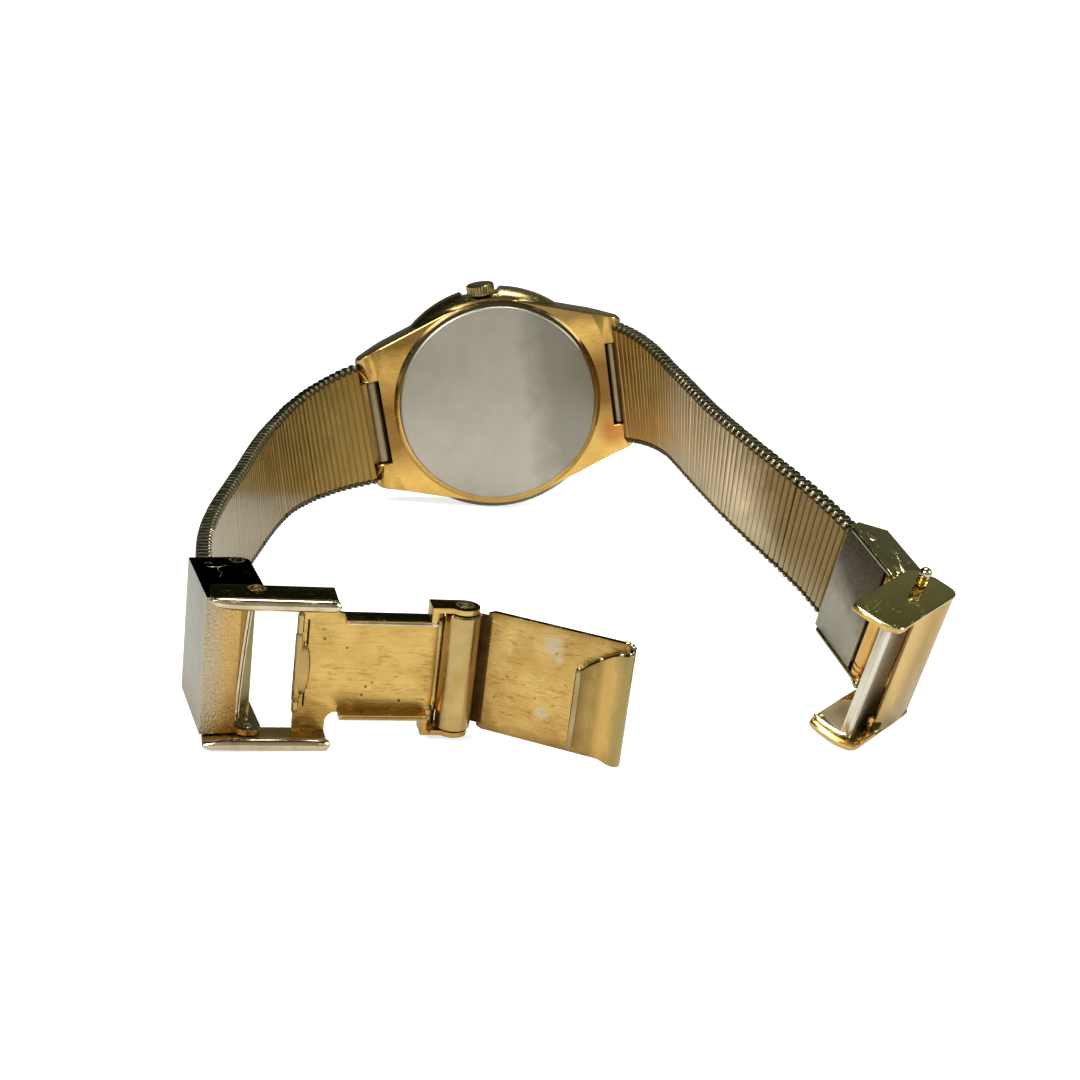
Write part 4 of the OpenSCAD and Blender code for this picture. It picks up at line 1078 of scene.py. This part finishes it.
def make_tail():
    """End housing of the bracelet's other half, with the bars that the hook and the lever need."""
    body = "link_12_5"
    tail = Piece("end_housing", body, "clasp_steel", "tail_box")
    tail.take(solid_of("tail_box", TAIL, 0.16, 3), TAIL, "tail")
    for s in (-1, 1):
        z = s * (TAIL_HALF - 0.27)
        tail.take(bead(straight((0.3, -1.22, z), (8.3, -1.22, z), 8), 0.27), TAIL, "tail")
        tail.take(flat_bead([(8.6, -1.3), (9.4, -1.3)], s * (TAIL_HALF - 0.4), 0.42),
                  TAIL, "bar_gold")
    tail.take(blob((9.5, -1.45, -6.7), (0.5, 0.5, 0.5)), TAIL, "tail")
    tail.take(blob((9.5, -1.45, -6.1), (0.42, 0.42, 0.3)), TAIL, "bar_gold")
    tail.finish(25)
    plate = Piece("inner_plate", body, "clasp_steel", "tail_plate")
    plate.take(solid_of("tail_plate", TAIL, 0.1, 2), TAIL, "tail_plate").finish(25)
    pin = Piece("band_end_pin", body, "pin_steel", "tail_pin")
    pin.take(rod(PIN_R, -TAIL_HALF, TAIL_HALF, 0.12), TAIL @ move(TAIL_PIN_X), "pin").finish()
    catch_bar = Piece("hook_bar", body, "clasp_gold", "tail_bar")
    at = TAIL @ move(*BAR_AT)
    half = [(1.1, 4.83), (0.98, 4.9), (0.98, 5.03), (1.1, 5.1)]
    upper = half + [(1.1, 6.2), (1.05, 6.35), (0.85, 6.45)]
    lower = half + [(1.1, 5.48), (0.98, 5.55), (0.98, 5.68), (1.1, 5.75)] + upper[4:]
    catch_bar.take(lathe([(r, -z) for r, z in reversed(lower)] + upper, 40), at, "bar_gold")
    catch_bar.take(rod(0.4, -7.35, 7.35, 0.1), at, "pin")
    catch_bar.finish()
    pivot = Piece("pivot_bar", body, "pin_steel", "catch_bar")
    at = TAIL @ move(*CATCH_AT)
    pivot.take(rod(0.7, -6.45, 6.45, 0.1), at, "bar_gold")
    tip = LEVER_HALF + 2.0
    pivot.take(lathe([(0.3, -8.1), (0.4, -8.0), (0.4, 8.2), (0.58, 8.28), (0.64, 8.4), (0.64, 8.7),
                      (0.54, 8.78), (0.54, 9.0), (0.6, 9.07), (0.6, 9.25), (0.46, 9.35),
                      (0.4, tip - 0.6)], 32), at, "bar_gold")
    # The steel ball at the tip takes the same pale silver: steel's own tone, brighter as a painted
    # highlight.
    pivot.take(blob((0, 0, tip - 0.66), (0.68, 0.68, 0.68)), at, "highlight")
    pivot.finish()


def make_lever():
    """U-shaped catch lever: two flanges, a bowed web and a steel strip between them."""
    lever = Piece("lever_shell", "catch", "clasp_gold", "catch_lever")
    outline = filleted([(-2.5, 0.2, 1.0), (-2.5, 3.2, 1.3), (8.5, 3.2, 1.6), (9.2, 1.2, 2.4),
                        (9.2, -2.3, 1.1), (-1.6, -2.3, 2.0)], 5)
    for s in (-1, 1):
        lever.take(prism(outline, *on_side(s, LEVER_HALF, LEVER_HALF - SHEET), 0.22, 3),
                   CATCH, "lever_side")
        z = s * (LEVER_HALF - 0.42)
        rim = [(8.75, -1.8), (8.85, -0.6), (8.8, 0.8), (8.6, 1.9), (8.1, 2.7), (7.2, 2.85)]
        lever.take(flat_bead(rim, z, 0.42), CATCH, "bar_gold")
        if s < 0:
            front = [(8.4, -1.95), (6.0, -2.0), (3.0, -2.0), (0.5, -1.95), (-1.0, -1.3)]
            for path in (front, [(7.2, 2.85), (4.6, 2.8)]):
                lever.take(flat_bead(path, z, 0.4), CATCH, "bar_gold")
    web = [(-2.0, 2.66), (-1.4, 2.82), (-0.4, 2.93), (0.8, 2.97), (2.0, 2.97), (3.2, 2.9),
           (4.0, 2.7), (4.4, 2.45)]
    lever.take(sheet_along(web, [(-7.9, 7.9)] * len(web)), CATCH, "lever")
    # Dark plug in the lever's notch: painted shade.
    lever.take(rod(0.8, -7.5, -6.3, 0.3), CATCH @ move(3.9, 2.3), "gap_shade")
    lever.take(bead([(4.3, 2.35, -7.5), (4.5, 2.2, -6.9), (4.5, 2.2, -6.2)], 0.35),
               CATCH, "bar_gold")
    lever.finish(25)
    strip = Piece("lever_strip", "catch", "clasp_steel", "catch_strip")
    strip.take(solid_of("catch_strip", CATCH, 0.1, 2), CATCH, "strip_face", strip_pick)
    strip.take(box(7.0, 7.85, 1.1, 1.9, -7.3, 7.3, 0.1), CATCH, "strip")
    strip.take(bead(straight((7.62, 1.72, -7.2), (7.62, 1.72, 7.2), 10), 0.3), CATCH, "strip")
    strip.take(bead([(7.62, 1.7, -7.1), (7.9, 1.0, -7.4), (8.1, -0.3, -7.4), (8.1, -1.6, -7.4),
                     (7.9, -2.2, -7.4)], 0.27), CATCH, "strip")
    strip.finish(25)


def strip_pick(normal, centre):
    # Outward faces take the brighter steel as a painted highlight.
    return "strip" if normal.x > 0.6 else None


# Studio


def make_camera():
    base = Matrix(((1, 0, 0), (0, 0, -1), (0, 1, 0)))
    look = (Matrix.Rotation(CAMERA_ROLL, 3, "Z") @ Matrix.Rotation(CAMERA_PITCH, 3, "X")
            @ Matrix.Rotation(CAMERA_YAW, 3, "Y") @ base)
    data = bpy.data.cameras.new("photo_camera")
    data.sensor_width, data.sensor_fit = SENSOR_MM, "HORIZONTAL"
    data.lens = FOCAL_PX / PHOTO_SIZE * SENSOR_MM
    data.clip_start, data.clip_end = 0.01, 20
    obj = bpy.data.objects.new("photo_camera", data)
    turned = Matrix((look[0], -look[1], -look[2])).transposed()
    obj.matrix_world = Matrix.Translation(Vector(CAMERA_AT) * MM) @ turned.to_4x4()
    link(obj)
    bpy.context.scene.camera = obj


FLOOR_Z = -15.5
FLOOR_MIDDLE = (0.0, -0.06, 0.0)


def make_floor():
    """A floor that looks white from the camera and takes the watch's shadow."""
    mesh = bmesh.new()
    bmesh.ops.create_grid(mesh, x_segments=1, y_segments=1, size=3.0)
    data = bpy.data.meshes.new("floor")
    mesh.to_mesh(data)
    mesh.free()
    obj = bpy.data.objects.new("floor", data)
    obj.location.z = FLOOR_Z * MM
    link(obj)
    material, g = new_material("floor_white")
    path = g.add("LightPath")
    spot = g.add("NewGeometry").outputs["Position"]
    away = g.measure("DISTANCE", spot, FLOOR_MIDDLE)
    near, far = g.ramp(away, 0.5, 0.3), g.ramp(away, 0.3, 0.9)
    seen_lift = g.times(g.seen(path), g.plus(0.74, g.times(far, 0.3)))
    glossy_lift = g.times(path.outputs["Is Glossy Ray"], g.times(near, 0.12))
    matt = g.add("BsdfDiffuse", {"Color": (0.8, 0.8, 0.8, 1)})
    lift = g.add("Emission", {"Color": (1, 1, 1, 1),
                                        "Strength": g.plus(seen_lift, glossy_lift)})
    both = g.add("AddShader", {0: matt.outputs[0], 1: lift.outputs[0]})
    g.add("OutputMaterial", {0: both.outputs[0]})
    data.materials.append(material)


def make_world():
    """White behind the watch, and for its reflections a dark room with a faint warm glow."""
    world = bpy.data.worlds.new("studio")
    bpy.context.scene.world = world
    world.use_nodes = True
    g = Graph(world.node_tree)
    direction = g.add("TexCoord").outputs["Generated"]
    height = g.add("SeparateXYZ", {0: direction}).outputs[2]
    room = g.mix(g.ramp(height, 0.0, 0.35), (0.16, 0.16, 0.13, 1), (0.02, 0.024, 0.018, 1))
    for towards, low, colour in (((0.62, 0.7, 0.36), 0.55, (0.22, 0.22, 0.17, 1)),
                                 ((-0.1, -0.9, 0.42), 0.6, (0.5, 0.5, 0.46, 1))):
        glow = g.ramp(g.measure("DOT_PRODUCT", direction, towards), low, 1.0)
        room = g.mix(glow, room, colour)
    seen = g.seen(g.add("LightPath"))
    back = g.add("Background", {"Color": g.mix(seen, room, (1, 1, 1, 1))})
    g.add("OutputWorld", {0: back.outputs[0]})


LAMP_TARGET = (0, -0.03, 0)


def make_lights():
    for name, at, size, power in (("key_left", (-0.5, -0.45, 0.55), (0.35, 0.35), 6.0),
                                  ("fill_right", (0.6, -0.35, 0.4), (0.3, 0.3), 3.0),
                                  ("top", (0.05, 0.15, 0.8), (0.4, 0.2), 4.0)):
        data = bpy.data.lights.new(name, "AREA")
        data.shape = "RECTANGLE"
        data.size, data.size_y = size
        data.energy = power
        obj = bpy.data.objects.new(name, data)
        obj.location = at
        aim = Vector(LAMP_TARGET) - Vector(at)
        obj.rotation_euler = aim.to_track_quat("-Z", "Y").to_euler()
        link(obj)


make_camera()
for hour in SIDES:
    make_band(hour)
make_end_links()
make_case()
make_crown()
make_dial()
make_cover()
make_frame()
make_hook()
make_tail()
make_lever()
make_floor()
make_world()
make_lights()
bpy.context.scene.view_settings.view_transform = "Standard"
